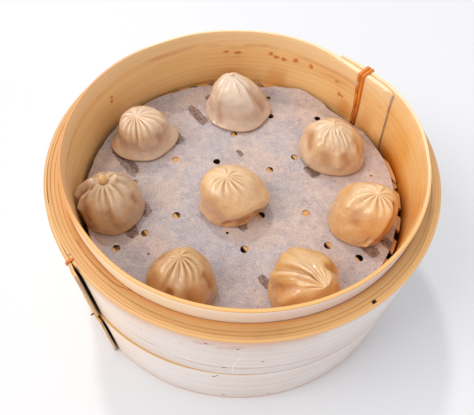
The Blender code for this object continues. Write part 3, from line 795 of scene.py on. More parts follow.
def mottle_group():
    """Soft blotches and fine specks for damp paper and dough."""
    group, given, result = shader_group("damp_mottle", ("Blotch", "Speck"), Blotch_Scale=60.0,
                                        Speck_Scale=700.0)
    point = object_point(group)
    connect(group, noise(group, point, given["Blotch Scale"], 3.0, 0.55), result["Blotch"])
    connect(group, noise(group, point, given["Speck Scale"], 2.0, 0.6), result["Speck"])
    return group


def spot_group():
    """A ragged block-shaped spot at one place, turned about the upright axis."""
    group, given, result = shader_group(
        "ragged_spot", ("Mask",), Place=(0.0, 0.0, 0.0), Size=(1.0, 1.0, 1.0), Turn=0.0,
        Ragged=0.2, Fineness=400.0, Soft=0.15)
    point = object_point(group)
    turned = add_node(group, "ShaderNodeVectorRotate", {"rotation_type": "Z_AXIS"}, Vector=point,
                      Center=given["Place"], Angle=Field(group, given["Turn"]) * -1.0)
    offset = vector_math(group, "SUBTRACT", turned.outputs["Vector"], given["Place"])
    share = vector_math(group, "DIVIDE", offset, given["Size"])
    squareness = 3.5
    x, y, z = (axis.math("ABSOLUTE") ** squareness for axis in axes(group, share))
    far = (x + y + z) ** (1.0 / squareness)
    ripple = noise(group, point, given["Fineness"], 2.0) - 0.5
    soft = Field(group, given["Soft"])
    mask = (1.0 - (far + ripple * Field(group, given["Ragged"]) * 4.0) + soft) / (soft * 2.0)
    connect(group, mask.ramp(0.0, 1.0), result["Mask"])
    return group


def spots(tree, group, places, ragged, fineness, soft=0.15):
    """The highest mask of several spots, each (place, size, turn in degrees)."""
    highest = None
    for middle, size, degrees in places:
        mask = use_group(tree, group, Place=middle, Size=size, Turn=math.radians(degrees),
                         Ragged=ragged, Fineness=fineness, Soft=soft)["Mask"]
        highest = mask if highest is None else highest.math("MAXIMUM", mask)
    return highest


def wall_places(marks, depth):
    """The spots for marks on an upright wall, which reach a depth in millimetres into it."""
    return [(plan_point(radius * MM, degrees, height * MM),
             (depth * MM, 0.5 * wide * MM, 0.5 * tall * MM), degrees)
            for degrees, radius, height, wide, tall in marks]


# ---------------------------------------------------------------- materials

def tone_value(tone):
    """A socket as it is, or a linear colour from 0 to 255 display values."""
    if not isinstance(tone, tuple):
        return tone
    linear = []
    for channel in tone:
        share = channel / 255.0
        linear.append(share / 12.92 if share <= 0.04045 else ((share + 0.055) / 1.055) ** 2.4)
    return (*linear, 1.0)


def blend(tree, amount, first, second, kind="MIX"):
    node = add_node(tree, "ShaderNodeMix", {"data_type": "RGBA", "blend_type": kind},
                    Factor=amount)
    for label, tone in (("A", first), ("B", second)):
        connect(tree, tone_value(tone), node.inputs[label])
    return node.outputs["Result"]


class Finish:
    """A Principled material in the making. Its tones are laid one over the other."""

    def __init__(self, name, roughness, **settings):
        self.material = bpy.data.materials.new(name)
        self.material.use_nodes = True
        self.tree = self.material.node_tree
        self.shader = self.tree.nodes["Principled BSDF"]
        for label, value in {"Roughness": roughness, **settings}.items():
            self.shader.inputs[label.replace("_", " ")].default_value = value
        self.point = object_point(self.tree)
        self.tone = None

    def noise(self, scale, detail=3.0, roughness=0.5):
        return noise(self.tree, self.point, scale, detail, roughness)

    def number(self, name):
        """A number that the points of the piece hold."""
        held = add_node(self.tree, "ShaderNodeAttribute", {"attribute_name": name})
        return Field(self.tree, held.outputs["Fac"])

    def mix(self, amount, first, second):
        return blend(self.tree, amount, first, second)

    def lay(self, amount, tone, kind="MIX"):
        """Blend a tone over the tones so far."""
        self.tone = blend(self.tree, amount, self.tone, tone, kind)

    def mark(self, group, places, amount, tone, ragged, fineness, soft=0.15):
        """Lay a tone in ragged spots."""
        self.lay(spots(self.tree, group, places, ragged, fineness, soft) * amount, tone)

    def close(self, height=None, depth=0.0, **varying):
        """Link the tones, what else varies over the surface, and the bump."""
        for label, value in {"Base_Color": self.tone, **varying}.items():
            connect(self.tree, value, self.shader.inputs[label.replace("_", " ")])
        if height is not None:
            bump = add_node(self.tree, "ShaderNodeBump", Height=height, Distance=depth,
                            Strength=1.0)
            connect(self.tree, bump.outputs["Normal"], self.shader.inputs["Normal"])
        return self.material


class Bamboo(Finish):
    """Bamboo whose fibres run round the basket. It starts with its pale and deep fibres."""

    def __init__(self, name, grain, tones, roughness, contrast, fineness=0.7):
        super().__init__(name, roughness)
        grained = use_group(self.tree, grain)
        self.fibre, self.streak, self.cloud = (
            grained[label] for label in ("Fibre", "Streak", "Cloud"))
        self.x, self.y, self.z = axes(self.tree, self.point)
        facing = add_node(self.tree, "ShaderNodeAttribute", {"attribute_name": "facing"})
        self.east, self.north, self.upward = axes(self.tree, facing.outputs["Vector"])
        self.roughness = roughness
        self.tones = tones
        self.lines = ((self.streak - 0.5) * contrast + (self.fibre - 0.5) * fineness
                      + (self.cloud - 0.5) * 0.7 + 0.35).ramp(0.0, 1.0)
        self.tone = self.mix(self.lines, tones.base, tones.deep)

    def draw_fibres(self):
        self.lay(self.fibre.ramp(0.52, 0.8) * 0.4, self.tones.deep)

    def stain(self, start=0.58):
        """Broad stains, where the grain's cloud is past a start."""
        stained = (self.cloud * 0.75 + self.streak * 0.25).ramp(start, start + 0.16)
        self.lay(stained * 0.6, self.tones.stain)

    def tone_top_faces(self, rim):
        self.lay((self.upward + (self.fibre - 0.5) * 0.4).ramp(0.25, 0.7), rim)

    def cut_end(self):
        """The splintered tone of a strip's cut end, which faces along the ring."""
        cut = ((self.x * self.north - self.y * self.east).math("ABSOLUTE") * 10.0).ramp(0.55, 0.8)
        split = joined(self.tree, self.x * 1500.0, self.y * 1500.0, self.z * 60.0)
        splinter = noise(self.tree, split, 1.0, 2.0, 0.6).ramp(0.38, 0.62)
        self.lay(cut, self.mix(splinter, self.tones.end, self.tones.splinter))

    def close_bamboo(self, depth=0.05 * MM):
        gloss = (self.fibre - 0.5) * 0.25 + (self.cloud - 0.5) * 0.2 + self.roughness
        return self.close(self.fibre * 0.7 + self.streak * 0.3, depth, Roughness=gloss)


# Tones as they look on a display, from 0 to 255
WALL_TONES = SimpleNamespace(
    base=(255, 213, 148), deep=(238, 174, 98), stain=(212, 130, 62), honey=(250, 180, 68),
    deep_honey=(222, 134, 30), shaded_honey=(188, 94, 12), outside_painted_lit=(255, 236, 204),
    outside_painted_shade=(240, 222, 216), pale_edge=(254, 222, 178), near_edge=(234, 184, 114),
    round_edge=(212, 134, 54), end=(214, 208, 214), splinter=(176, 164, 166),
    damp=(226, 140, 52), spot=(210, 108, 40), gap=(54, 26, 14), lap=(214, 202, 202))
LEDGE_TONES = SimpleNamespace(
    base=(224, 174, 112), deep=(194, 136, 76), stain=(160, 104, 58), core=(206, 130, 60),
    end=(190, 150, 110), splinter=(90, 60, 40))
SKIN_TONES = SimpleNamespace(
    base=(236, 227, 222), deep=(219, 191, 174), stain=(206, 174, 156), painted_sunlight=(248, 220, 190),
    under_ledge=(214, 166, 134), pale_edge=(206, 192, 190), warm_edge=(220, 170, 108),
    line_right=(206, 172, 158), foot=(206, 144, 96), end=(248, 208, 146),
    splinter=(190, 150, 122), mark=(204, 150, 122), scratch=(253, 250, 250), nick=(96, 52, 28),
    gap=(34, 24, 18), hole=(84, 70, 62))
SLAT_TONES = SimpleNamespace(base=(220, 164, 98), deep=(192, 128, 66), stain=(150, 92, 46))
CANE_TONES = SimpleNamespace(
    pale=(244, 150, 42), deep=(208, 108, 20), seam=(250, 132, 26), dark=(150, 70, 18),
    shadow=(120, 74, 46), pale_grey=(212, 206, 212), painted_end_shade=(96, 34, 14))
PAPER_TONES = SimpleNamespace(
    cream=(203, 178, 166), lilac=(184, 175, 180), damp=(166, 156, 160), dull=(160, 148, 148),
    warm=(222, 200, 184), pale_fibre=(228, 214, 206), dark_fibre=(146, 134, 132),
    speck=(138, 124, 122), soaked=(112, 84, 72), soaked_fibre=(152, 128, 118))
DOUGH_TONES = SimpleNamespace(
    pale=(234, 209, 186), pale_warm=(238, 194, 132), filled=(212, 174, 136),
    filled_warm=(220, 162, 94), filled_grey=(204, 182, 170), pressed=(186, 132, 94),
    pressed_warm=(196, 126, 62), groove_shade=(198, 154, 112), groove_shade_warm=(210, 150, 86),
    crest=(240, 226, 212), raised=(248, 226, 202), rim=(226, 200, 172), foot=(216, 162, 98),
    knob=(236, 190, 116), shade=(212, 202, 190))
PEG_TONES = ((112, 22, 12), (60, 12, 10))
FLOOR_TONES = ((233, 233, 235), (228, 228, 231))


def wall_material(grain, spot):
    """The inner wall: pale bamboo, honey coloured on its right, greyed and stained by steam."""
    tones = WALL_TONES
    wall = Bamboo("inner_bamboo", grain, tones, roughness=0.42, contrast=0.6, fineness=1.5)
    x, y, z, cloud = wall.x, wall.y, wall.z, wall.cloud
    # Honey coloured towards the right and the foot, and shaded just over the mat
    aged = (x * 12.0 - z * 5.0 + (cloud - 0.5) * 1.2).ramp(0.34, 0.88)
    wall.lay(aged, wall.mix(wall.lines, tones.honey, tones.deep_honey))
    shaded = 1.0 - z.ramp(MAT_TOP, MAT_TOP + 16.0 * MM)
    wall.lay(aged * shaded * 0.9, tones.shaded_honey)
    wall.draw_fibres()
    # Pale near the rim, over a faint stained ring
    faded = (z + (cloud - 0.5) * 14.0 * MM).ramp(RIM_TOP - 16.0 * MM, RIM_TOP - 3.0 * MM)
    wall.lay(faded * (1.0 - aged * 0.7) * 0.5, tones.pale_edge)
    wave = z + (wall.noise(30.0, 2.0) - 0.5) * 9.0 * MM
    ring = 1.0 - (wave - (RIM_TOP - 11.0 * MM)).math("ABSOLUTE").ramp(0.4 * MM, 2.2 * MM)
    wall.lay(ring * cloud.ramp(0.46, 0.6) * 0.4, tones.stain)
    wall.stain()
    # The side that faces outwards: pale skin, warmer in painted light on the left and cooler in
    # painted shade on the right
    outside = wall.mix(x.ramp(-50.0 * MM, 50.0 * MM), tones.outside_painted_lit, tones.outside_painted_shade)
    wall.lay((x * wall.east + y * wall.north).ramp(0.0, 0.05),
             wall.mix(wall.streak.ramp(0.35, 0.75) * 0.25, outside, tones.deep))
    # The rim, deeper in tone on its rounded edges and at the far left
    rim = wall.mix((y * -1.0).ramp(-20.0 * MM, 70.0 * MM), tones.pale_edge, tones.near_edge)
    rim = wall.mix((1.0 - wall.upward.ramp(0.8, 0.97)) * 0.7, rim, tones.round_edge)
    rim = wall.mix((x * -1.0).ramp(60.0 * MM, 96.0 * MM) * 0.8, rim, tones.round_edge)
    wall.tone_top_faces(rim)
    wall.cut_end()
    # Soft darker golden patches on the wall
    wall.mark(spot, wall_places(WALL_SOFT_PATCHES, 1.8), 0.45, tones.damp, ragged=0.5, fineness=60.0,
              soft=0.7)
    wall.mark(spot, wall_places(WALL_STAINS, 1.8), 0.85, tones.spot, ragged=0.4, fineness=420.0,
              soft=0.5)
    # Painted shade on the wall behind the break in the left strand
    wall.mark(spot, wall_places(TIE_BREAK_SHADE, 3.0), 0.9, tones.gap, ragged=0.3, fineness=500.0)
    wall.mark(spot, wall_places(END_CUT, 2.0), 0.7, tones.lap, ragged=0.1, fineness=900.0)
    return wall.close_bamboo()


def ledge_material(grain):
    """The ledge's strips, with painted shade in orange on the inside of the innermost, where it
    meets the wall.
    """
    ledge = Bamboo("ledge_bamboo", grain, LEDGE_TONES, roughness=0.5, contrast=0.6)
    ledge.draw_fibres()
    ledge.stain()
    # Painted shade where the innermost strip meets the wall
    inward = 1.0 - from_axis(ledge.x, ledge.y).ramp(103.6 * MM, 104.4 * MM)
    ledge.lay(inward * 0.5, LEDGE_TONES.core)
    ledge.cut_end()
    return ledge.close_bamboo()


def slat_material(grain):
    slats = Bamboo("slat_bamboo", grain, SLAT_TONES, roughness=0.55, contrast=0.9)
    slats.draw_fibres()
    slats.stain()
    return slats.close_bamboo()


def skin_material(grain, spot):
    """The outer bands: the bamboo's pale skin, with warm edges under painted highlight, painted
    sunlight on the left, marks, nicks, a scratch and painted shadow in the seam's gaps.
    """
    tones = SKIN_TONES
    skin = Bamboo("bamboo_skin", grain, tones, roughness=0.34, contrast=0.9, fineness=1.1)
    skin.draw_fibres()
    skin.stain(0.6)
    shade_bands(skin)
    # The top edges, with painted highlight in warm gold all round the ledge and, under the painted
    # sunlight, on the left
    warm = (skin.x * -1.0).ramp(-26.0 * MM, -4.0 * MM).math(
        "MAXIMUM", skin.z.ramp(HOOP_TOP + 2.0 * MM, LEDGE_TOP - 2.0 * MM))
    skin.tone_top_faces(skin.mix(warm, tones.pale_edge, tones.warm_edge))
    skin.cut_end()
    skin.mark(spot, wall_places(BAND_MARKS, 3.0), 0.4, tones.mark, ragged=0.8, fineness=260.0)
    skin.lay(scratch(skin) * 0.6, tones.scratch)
    skin.mark(spot, wall_places(BAND_NICKS, 1.2), 0.9, tones.nick, ragged=0.25, fineness=1400.0)
    # Painted shadow in the gaps behind the free ends of the band and the hoop
    skin.mark(spot, wall_places(SEAM_GAP_SHADOWS, 1.2), 1.0, tones.gap, ragged=0.05, fineness=300.0)
    skin.mark(spot, wall_places(NAIL_HOLE, 0.6), 0.9, tones.hole, ragged=0.1, fineness=900.0)
    return skin.close_bamboo(0.03 * MM)


def shade_bands(skin):
    """The bands' tones: painted warm sunlight on the left, darker under the ledge, painted
    highlight just under their top edges, a line, and painted contact shadow at the foot.
    """
    tones = skin.tones
    x, z, cloud = skin.x, skin.z, skin.cloud
    # Painted warm sunlight on the left side of the bands
    painted_sunlight = (x * -12.0 + (cloud - 0.5) * 0.8).ramp(0.2, 1.2)
    skin.lay(painted_sunlight * 0.75, tones.painted_sunlight)
    below = (z + (skin.streak - 0.5) * 8.0 * MM).ramp(LEDGE_TOP - 9.0 * MM, LEDGE_TOP - 2.0 * MM)
    skin.lay(below * (cloud.ramp(0.35, 0.6) * 0.5 + 0.2), tones.under_ledge)
    left = 1.0 - (x + (cloud - 0.5) * 20.0 * MM).ramp(4.0 * MM, 30.0 * MM)
    # Painted highlight just under each top edge, stronger in the painted sunlight; on the hoop only
    # on the left
    for top, depth, part in ((LEDGE_TOP, 3.0 * MM, 1.0), (HOOP_TOP, 2.6 * MM, left)):
        near = (z + (skin.fibre - 0.5) * 1.5 * MM).ramp(top - depth, top - 0.2 * MM)
        near = near * (1.0 - z.ramp(top, top + 0.1 * MM)) * part
        skin.lay(near * (painted_sunlight * 0.4 + 0.4), tones.warm_edge)
    # A line across the front that rises on the left and drops on the right
    rise = (x * -1.0).ramp(24.0 * MM, 42.0 * MM) * 6.0 * MM
    drop = x.ramp(38.0 * MM, 54.0 * MM) * 7.0 * MM
    line = z - 62.6 * MM - (rise - drop) + (cloud - 0.5) * 3.0 * MM
    thin = 1.0 - line.math("ABSOLUTE").ramp(0.2 * MM, 1.0 * MM)
    shown = thin * (1.0 - x.math("ABSOLUTE").ramp(44.0 * MM, 66.0 * MM))
    skin.lay(shown * skin.streak.ramp(0.2, 0.6) * 0.85,
             skin.mix(left, tones.line_right, tones.foot))
    # Painted contact shadow along the foot
    foot = 1.0 - (z + (cloud - 0.5) * 3.0 * MM).ramp(1.2 * MM, 3.4 * MM)
    skin.lay(foot * 0.7, tones.foot)


def scratch(skin):
    """A fine pale scratch down the front of the upper band."""
    x, y, z = skin.x, skin.y, skin.z
    line = (z - 67.0 * MM).math("MAXIMUM", 0.0) * 0.246 + 1.95 * MM
    thin = 1.0 - (x - line).math("ABSOLUTE").ramp(0.12 * MM, 0.45 * MM)
    long = z.ramp(51.0 * MM, 56.0 * MM) * (1.0 - z.ramp(80.0 * MM, 86.0 * MM))
    return thin * long * (y * -1.0).ramp(0.09, 0.1)


def cane_material(spot):
    """Split cane: orange brown, glossy, with darker fibres along each strand."""
    tones = CANE_TONES
    cane = Finish("cane_tie", 0.34)
    x, y, z = axes(cane.tree, cane.point)
    lengthways = joined(cane.tree, y.math("ARCTAN2", x) * 120.0, from_axis(x, y) * 60.0, z * 60.0)
    fibre = noise(cane.tree, lengthways, 1.0, 2.0, 0.6)
    cloud = cane.noise(150.0, 2.0)
    low = 1.0 - z.ramp(MAT_TOP - 6.0 * MM, MAT_TOP + 24.0 * MM)
    seam = (x * -1.0).ramp(0.0, 20.0 * MM)
    calm = 1.0 - z.ramp(RIM_TOP - 5.0 * MM, RIM_TOP - 1.0 * MM).math("MAXIMUM", seam) * 0.85
    cane.tone = cane.mix(fibre.ramp(0.36, 0.68), tones.pale, tones.deep)
    cane.lay(seam * 0.6, tones.seam)
    cane.lay((cloud + low * 0.3).ramp(0.55, 0.8) * 0.5 * calm, tones.dark)
    # The strand's shaded side, low on the wall
    across_tie = math.radians(40.0)
    sideways = y * math.cos(across_tie) - x * math.sin(across_tie)
    shadow = (1.0 - sideways.ramp(-2.6 * MM, -1.3 * MM)) * (1.0 - z.ramp(90.0 * MM, 112.0 * MM))
    cane.lay(shadow * 0.6, tones.shadow)
    # A pale grey patch on the strands below the rim
    cane.mark(spot, wall_places(TIE_GREY_PATCH, 3.0), 0.65, tones.pale_grey, ragged=0.7, fineness=700.0)
    # Painted shade at the strands' thin ends and at the break, fading up the inside from the foot
    cane.lay(1.0 - cane.number("spread").ramp(0.6, 0.98), tones.painted_end_shade)
    return cane.close(fibre, 0.15 * MM, Roughness=fibre * 0.3 + 0.2)


def peg_material():
    """The dark red, lacquered end of a peg."""
    peg = Finish("red_peg", 0.3)
    cloud = peg.noise(900.0, 2.0)
    peg.tone = peg.mix(cloud, *PEG_TONES)
    return peg.close(Roughness=cloud * 0.4 + 0.15)


def paper_material(mottle, spot):
    """Damp steamer paper, with see-through patches where it is soaked against a slat."""
    tones = PAPER_TONES
    paper = Finish("steamer_paper", 0.72, Specular_IOR_Level=0.3)
    mottled = use_group(paper.tree, mottle, Blotch_Scale=26.0, Speck_Scale=520.0)
    blotch, speck = mottled["Blotch"], mottled["Speck"]
    damp = paper.noise(75.0, 4.0, 0.6)
    mid = paper.noise(230.0, 3.0, 0.6)
    fibre = paper.noise(1100.0, 3.0, 0.6)
    paper.tone = paper.mix(blotch.ramp(0.38, 0.62), tones.cream, tones.lilac)
    paper.lay(damp.ramp(0.42, 0.72) * 0.55, tones.damp)
    paper.lay(mid.ramp(0.5, 0.7) * 0.45, tones.dull)
    paper.lay((1.0 - mid.ramp(0.34, 0.5)) * 0.4, tones.warm)
    paper.lay(fibre.ramp(0.42, 0.66) * 0.35, tones.pale_fibre)
    paper.lay((1.0 - fibre.ramp(0.34, 0.46)) * 0.35, tones.dark_fibre)
    paper.lay((speck * 0.7 + damp * 0.3).ramp(0.55, 0.7) * 0.5, tones.speck)
    # Soaked patches, each along a slat
    patches = [((x * MM, y * MM, LINER_FOOT), (0.5 * length * MM, 0.5 * width * MM, 6.0 * MM),
                SLAT_DIRECTION) for x, y, length, width in WET_PATCHES]
    soak = spots(paper.tree, spot, patches, ragged=0.16, fineness=420.0)
    soaked = paper.mix((speck * 0.5 + fibre * 0.5).ramp(0.4, 0.6), tones.soaked,
                       tones.soaked_fibre)
    paper.lay(soak * (1.0 - fibre.ramp(0.55, 0.75) * 0.3), soaked)
    return paper.close(blotch * 0.3 + speck * 0.3 + fibre * 0.4, 0.16 * MM,
                       Roughness=0.74 - soak * 0.3)


def dough_material(mottle):
    """Steamed dough: creamy and moist, with the filling showing through where it is thin."""
    tones = DOUGH_TONES
    dough = Finish("steamed_dough", 0.4, Subsurface_Weight=0.35, Subsurface_Scale=2.0 * MM,
                   Subsurface_Radius=(1.0, 0.7, 0.45), Coat_Roughness=0.1)
    mottled = use_group(dough.tree, mottle, Blotch_Scale=120.0, Speck_Scale=900.0)
    blotch, speck = mottled["Blotch"], mottled["Speck"]
    broad = dough.noise(42.0, 2.0)
    patch = dough.noise(210.0, 3.0, 0.6)
    along, pressed = dough.number("along"), dough.number("pressed")
    warmth = dough.number("warm") + (broad - 0.5) * 0.9
    warmth = warmth.math("MAXIMUM", 0.0).math("MINIMUM", 1.0)
    pale = dough.mix(warmth, tones.pale, tones.pale_warm)
    filled = dough.mix(warmth, tones.filled, tones.filled_warm)
    filled = dough.mix(dough.number("grey"), filled, tones.filled_grey)
    # The filling shows where the dough is thin and damp
    show = dough.number("thin") * 0.7 + (blotch - 0.5) * 1.1 + (patch - 0.5) * 0.8
    dough.tone = dough.mix(show.ramp(0.05, 0.95), pale, filled)
    # Pressed marks and creases go darker, with painted shade in their hollows over the filling that
    # shows through; drawn marks and crests go paler, as paler dough with painted highlight on them
    dough.lay(pressed.ramp(0.1, 1.7) * 0.75, dough.mix(warmth, tones.pressed, tones.pressed_warm))
    dough.lay((pressed * -1.0).ramp(0.1, 1.5) * 0.5, pale)
    dough.lay(dough.number("groove_shade").ramp(0.2, 1.8) * 0.5,
              dough.mix(warmth, tones.groove_shade, tones.groove_shade_warm))
    dough.lay(dough.number("ridge_highlight").ramp(0.3, 1.6) * 0.7, dough.mix(0.3, pale, tones.crest))
    dough.lay(dough.number("raised").ramp(0.1, 0.8) * 0.55, tones.raised)
    # The skirt's rim, the foot, the knob and the shade of a whole piece
    dough.lay(dough.number("rim") * 0.6, tones.rim)
    dough.lay(along.ramp(0.86, 0.98) * 0.5, tones.foot)
    dough.lay((along * -1.0).ramp(0.0, 0.02) * 0.7, tones.knob)
    dough.lay(dough.number("deep"), tones.shade, "MULTIPLY")
    return dough.close(blotch * 0.45 + patch * 0.35 + speck * 0.2, 0.3 * MM,
                       Roughness=0.36 + (blotch - 0.5) * 0.35 + (patch - 0.5) * 0.15,
                       Coat_Weight=(blotch * 0.6 + patch * 0.4).ramp(0.4, 0.56))


def floor_material():
    floor = Finish("pale_floor", 0.6)
    floor.tone = floor.mix(floor.noise(3.0, 2.0), *FLOOR_TONES)
    return floor.close()


# ---------------------------------------------------------------- basket

def strip_path(stations, closed, cuts):
    """A chain of points round the basket that holds a strip's radii and the cuts in its top."""
    first = stations[0][0]
    turn = stations[-1][0] - first
    steps = round(turn / PATH_STEP)
    angles = [first + turn * index / steps for index in range(steps if closed else steps + 1)]
    edges = [(index, index + 1) for index in range(len(angles) - 1)]
    if closed:
        edges.append((len(angles) - 1, 0))
    mesh = bpy.data.meshes.new("strip_path")
    mesh.from_pydata([plan_point(1.0, degrees) for degrees in angles], edges, [])
    inner, outer = zip(*(at_station(stations, degrees) for degrees in angles))
    depths = [max([0.0] + [deepest * MM * max(0.0, 1.0 - abs(degrees - middle) / half_width)
                           for middle, half_width, deepest in cuts]) for degrees in angles]
    write_numbers(mesh, inner=inner, outer=outer, cut=depths)
    return mesh


def lean_rim(piece, slant=0.0):
    """Lean the wall's top, and slant the end of its lap, which is at the strip's start."""
    mesh = piece.data
    lap_start, lap_end = LAP_REACH
    for vertex in mesh.vertices[:len(mesh.vertices) // 2]:
        x, y, z = vertex.co
        degrees = math.degrees(math.atan2(y, x))
        if slant and lap_start - 0.5 < degrees < lap_end:
            degrees += slant * (z - MAT_TOP) / (RIM_TOP - MAT_TOP) * (
                1.0 - smooth(degrees, lap_start, lap_end))
            vertex.co = plan_point(math.hypot(x, y), degrees, z)
    builder = bmesh.new()
    builder.from_mesh(mesh)
    for level in range(1, LEAN_LEVELS):
        height = LEAN_FOOT + (RIM_TOP - LEAN_FOOT) * level / LEAN_LEVELS
        bmesh.ops.bisect_plane(builder, geom=builder.verts[:] + builder.edges[:] + builder.faces[:],
                               plane_co=(0.0, 0.0, height), plane_no=(0.0, 0.0, 1.0))
    for vertex in builder.verts:
        x, y, z = vertex.co
        radius, degrees = math.hypot(x, y), math.degrees(math.atan2(y, x))
        inner, outer, down = at_station(RIM_LEAN, degrees)
        share = min(max((radius - WALL_INSIDE) / WALL_DEPTH, 0.0), 1.0)
        high = smooth(z, LEAN_FOOT, RIM_TOP)
        radius += inner * high * (1.0 - share) + outer * smooth(z, LEDGE_TOP, RIM_TOP) * share
        vertex.co = plan_point(radius, degrees, z - down * high * high * (1.0 - share))
    builder.to_mesh(mesh)
    builder.free()


def wind_strip(name, tree, stations, foot, top, material, slot, replaced, closed=False, cuts=(),
               edge_round=0.3 * MM, slant=None):
    piece = grow(name, tree, strip_path(stations, closed, cuts), material, Foot=foot, Top=top,
                 Edge_Round=edge_round, Wander=0.3 * MM)
    if slant is not None:
        lean_rim(piece, slant)
    close_skin(piece)
    finish_piece(piece, slot, replaced)


def build_walls(tree, grain, spot, ledge):
    skin = skin_material(grain, spot)
    wind_strip("inner_wall_strip", tree, INNER_WALL, STRIP_FOOT, RIM_TOP,
               wall_material(grain, spot), "bamboo_strip", "inner_wall", cuts=WALL_CUTS,
               edge_round=0.55 * MM, slant=LAP_SLANT)
    for which, stations, closed, cuts in (("inner", LEDGE_INNER, False, LEDGE_CUTS),
                                          ("middle", LEDGE_MIDDLE, True, ()),
                                          ("outer", LEDGE_OUTER, False, ())):
        wind_strip(f"ledge_{which}_strip", tree, stations, STRIP_FOOT, LEDGE_TOP, ledge,
                   "bamboo_strip", f"ledge_strip_{which}", closed, cuts, 0.45 * MM)
    wind_strip("upper_band_strip", tree, UPPER_BAND, HOOP_TOP + BAND_GAP, LEDGE_TOP, skin,
               "bamboo_skin", "upper_band")
    wind_strip("lower_hoop_strip", tree, LOWER_HOOP, 0.0, HOOP_TOP, skin, "bamboo_skin",
               "lower_hoop")


def build_mat(strips, grain, ledge):
    slats = slat_material(grain)
    mesh = bpy.data.meshes.new("slat_seats")
    seats = [FIRST_SLAT_OFFSET + index * SLAT_PITCH for index in range(SLAT_COUNT)]
    mesh.from_pydata([(0.0, seat, 0.0) for seat in seats], [], [])
    write_numbers(mesh, seat=seats)
    piece = grow("mat_slats", slat_tree(), mesh, slats, Width=SLAT_WIDTH,
                 Thickness=SLAT_THICKNESS, Reach=MAT_RADIUS, Longer=SLAT_LONGER, Wobble=0.3 * MM)
    piece.data.transform(Matrix.Translation((0.0, 0.0, MAT_TOP - SLAT_THICKNESS))
                         @ Matrix.Rotation(math.radians(SLAT_DIRECTION), 4, "Z"))
    round_edges(piece, 0.35 * MM, 2)
    close_skin(piece)
    replaced = [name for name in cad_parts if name.startswith("mat_slat")]
    finish_piece(piece, "mat_bamboo", *replaced)
    wind_strip("mat_carrier_ring", strips, CARRIER, CARRIER_FOOT, CARRIER_TOP, ledge,
               "mat_bamboo", "mat_carrier", closed=True)
    for name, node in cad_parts.items():
        if name.startswith("mat_bar"):
            node.data.materials.clear()
            node.data.materials.append(slats)


def liner_sheet():
    """A flat closed sheet with the liner's outline, whose points know how far they curl up. A
    loose point stands at the middle of each hole and knows its width."""
    rings, spokes = LINER_RINGS, LINER_SPOKES
    outline = [at_station(LINER_OUTLINE, 360.0 * spoke / spokes) for spoke in range(spokes)]
    points = [(0.0, 0.0, 0.0), (0.0, 0.0, LINER_THICKNESS)]
    lifts = [0.0, 0.0]
    for level in (0.0, LINER_THICKNESS):
        for ring in range(1, rings + 1):
            share = (ring / rings) ** 0.85
            curl = max(0.0, (share - LINER_CURL_START) / (1.0 - LINER_CURL_START)) ** 2
            for spoke, (radius, lift) in enumerate(outline):
                points.append(plan_point(radius * share, 360.0 * spoke / spokes, level))
                lifts.append(lift * curl)
    faces = []
    low_rim = 2 + (rings - 1) * spokes
    high_rim = low_rim + rings * spokes
    for side in range(2):
        start = 2 + side * rings * spokes
        turned = 1 if side else -1
        for spoke in range(spokes):
            beside = (spoke + 1) % spokes
            faces.append((side, start + spoke, start + beside)[::turned])
            for row in range(start, start + (rings - 1) * spokes, spokes):
                faces.append((row + spoke, row + spokes + spoke, row + spokes + beside,
                              row + beside)[::turned])
    for spoke in range(spokes):
        beside = (spoke + 1) % spokes
        faces.append((low_rim + spoke, low_rim + beside, high_rim + beside, high_rim + spoke))
    holes = [0.0] * len(points) + [size * MM for _, _, size in LINER_HOLES]
    points += [(x * MM, y * MM, 0.0) for x, y, _ in LINER_HOLES]
    lifts += [0.0] * len(LINER_HOLES)
    mesh = bpy.data.meshes.new("liner_sheet")
    mesh.from_pydata(points, [], faces)
    write_numbers(mesh, hole=holes, lift=lifts)
    return mesh


def build_liner(paper):
    piece = grow("paper_liner_sheet", liner_tree(), liner_sheet(), paper,
                 Heading=math.radians(-SLAT_DIRECTION), Phase=FIRST_SLAT_OFFSET, Pitch=SLAT_PITCH,
                 Width=SLAT_WIDTH, Sag=0.35 * MM, Crinkle=0.45 * MM)
    piece.data.transform(Matrix.Translation((0.0, 0.0, LINER_FOOT - 0.1 * MM)))
    close_skin(piece, 60.0)
    finish_piece(piece, "liner_paper", "paper_liner")


# ---------------------------------------------------------------- ties and seam

def strand_path(points):
    """A chain of (plan angle, radius, height, face out, face up, spread, fullness) points."""
    degrees, radius, height, face_out, face_up, spread, fullness = zip(*points)
    mesh = bpy.data.meshes.new("strand_path")
    mesh.from_pydata([plan_point(*spot) for spot in zip(radius, degrees, height)],
                     [(index, index + 1) for index in range(len(points) - 1)], [])
    write_numbers(mesh, face_out=face_out, face_up=face_up, spread=spread, fullness=fullness)
    return mesh


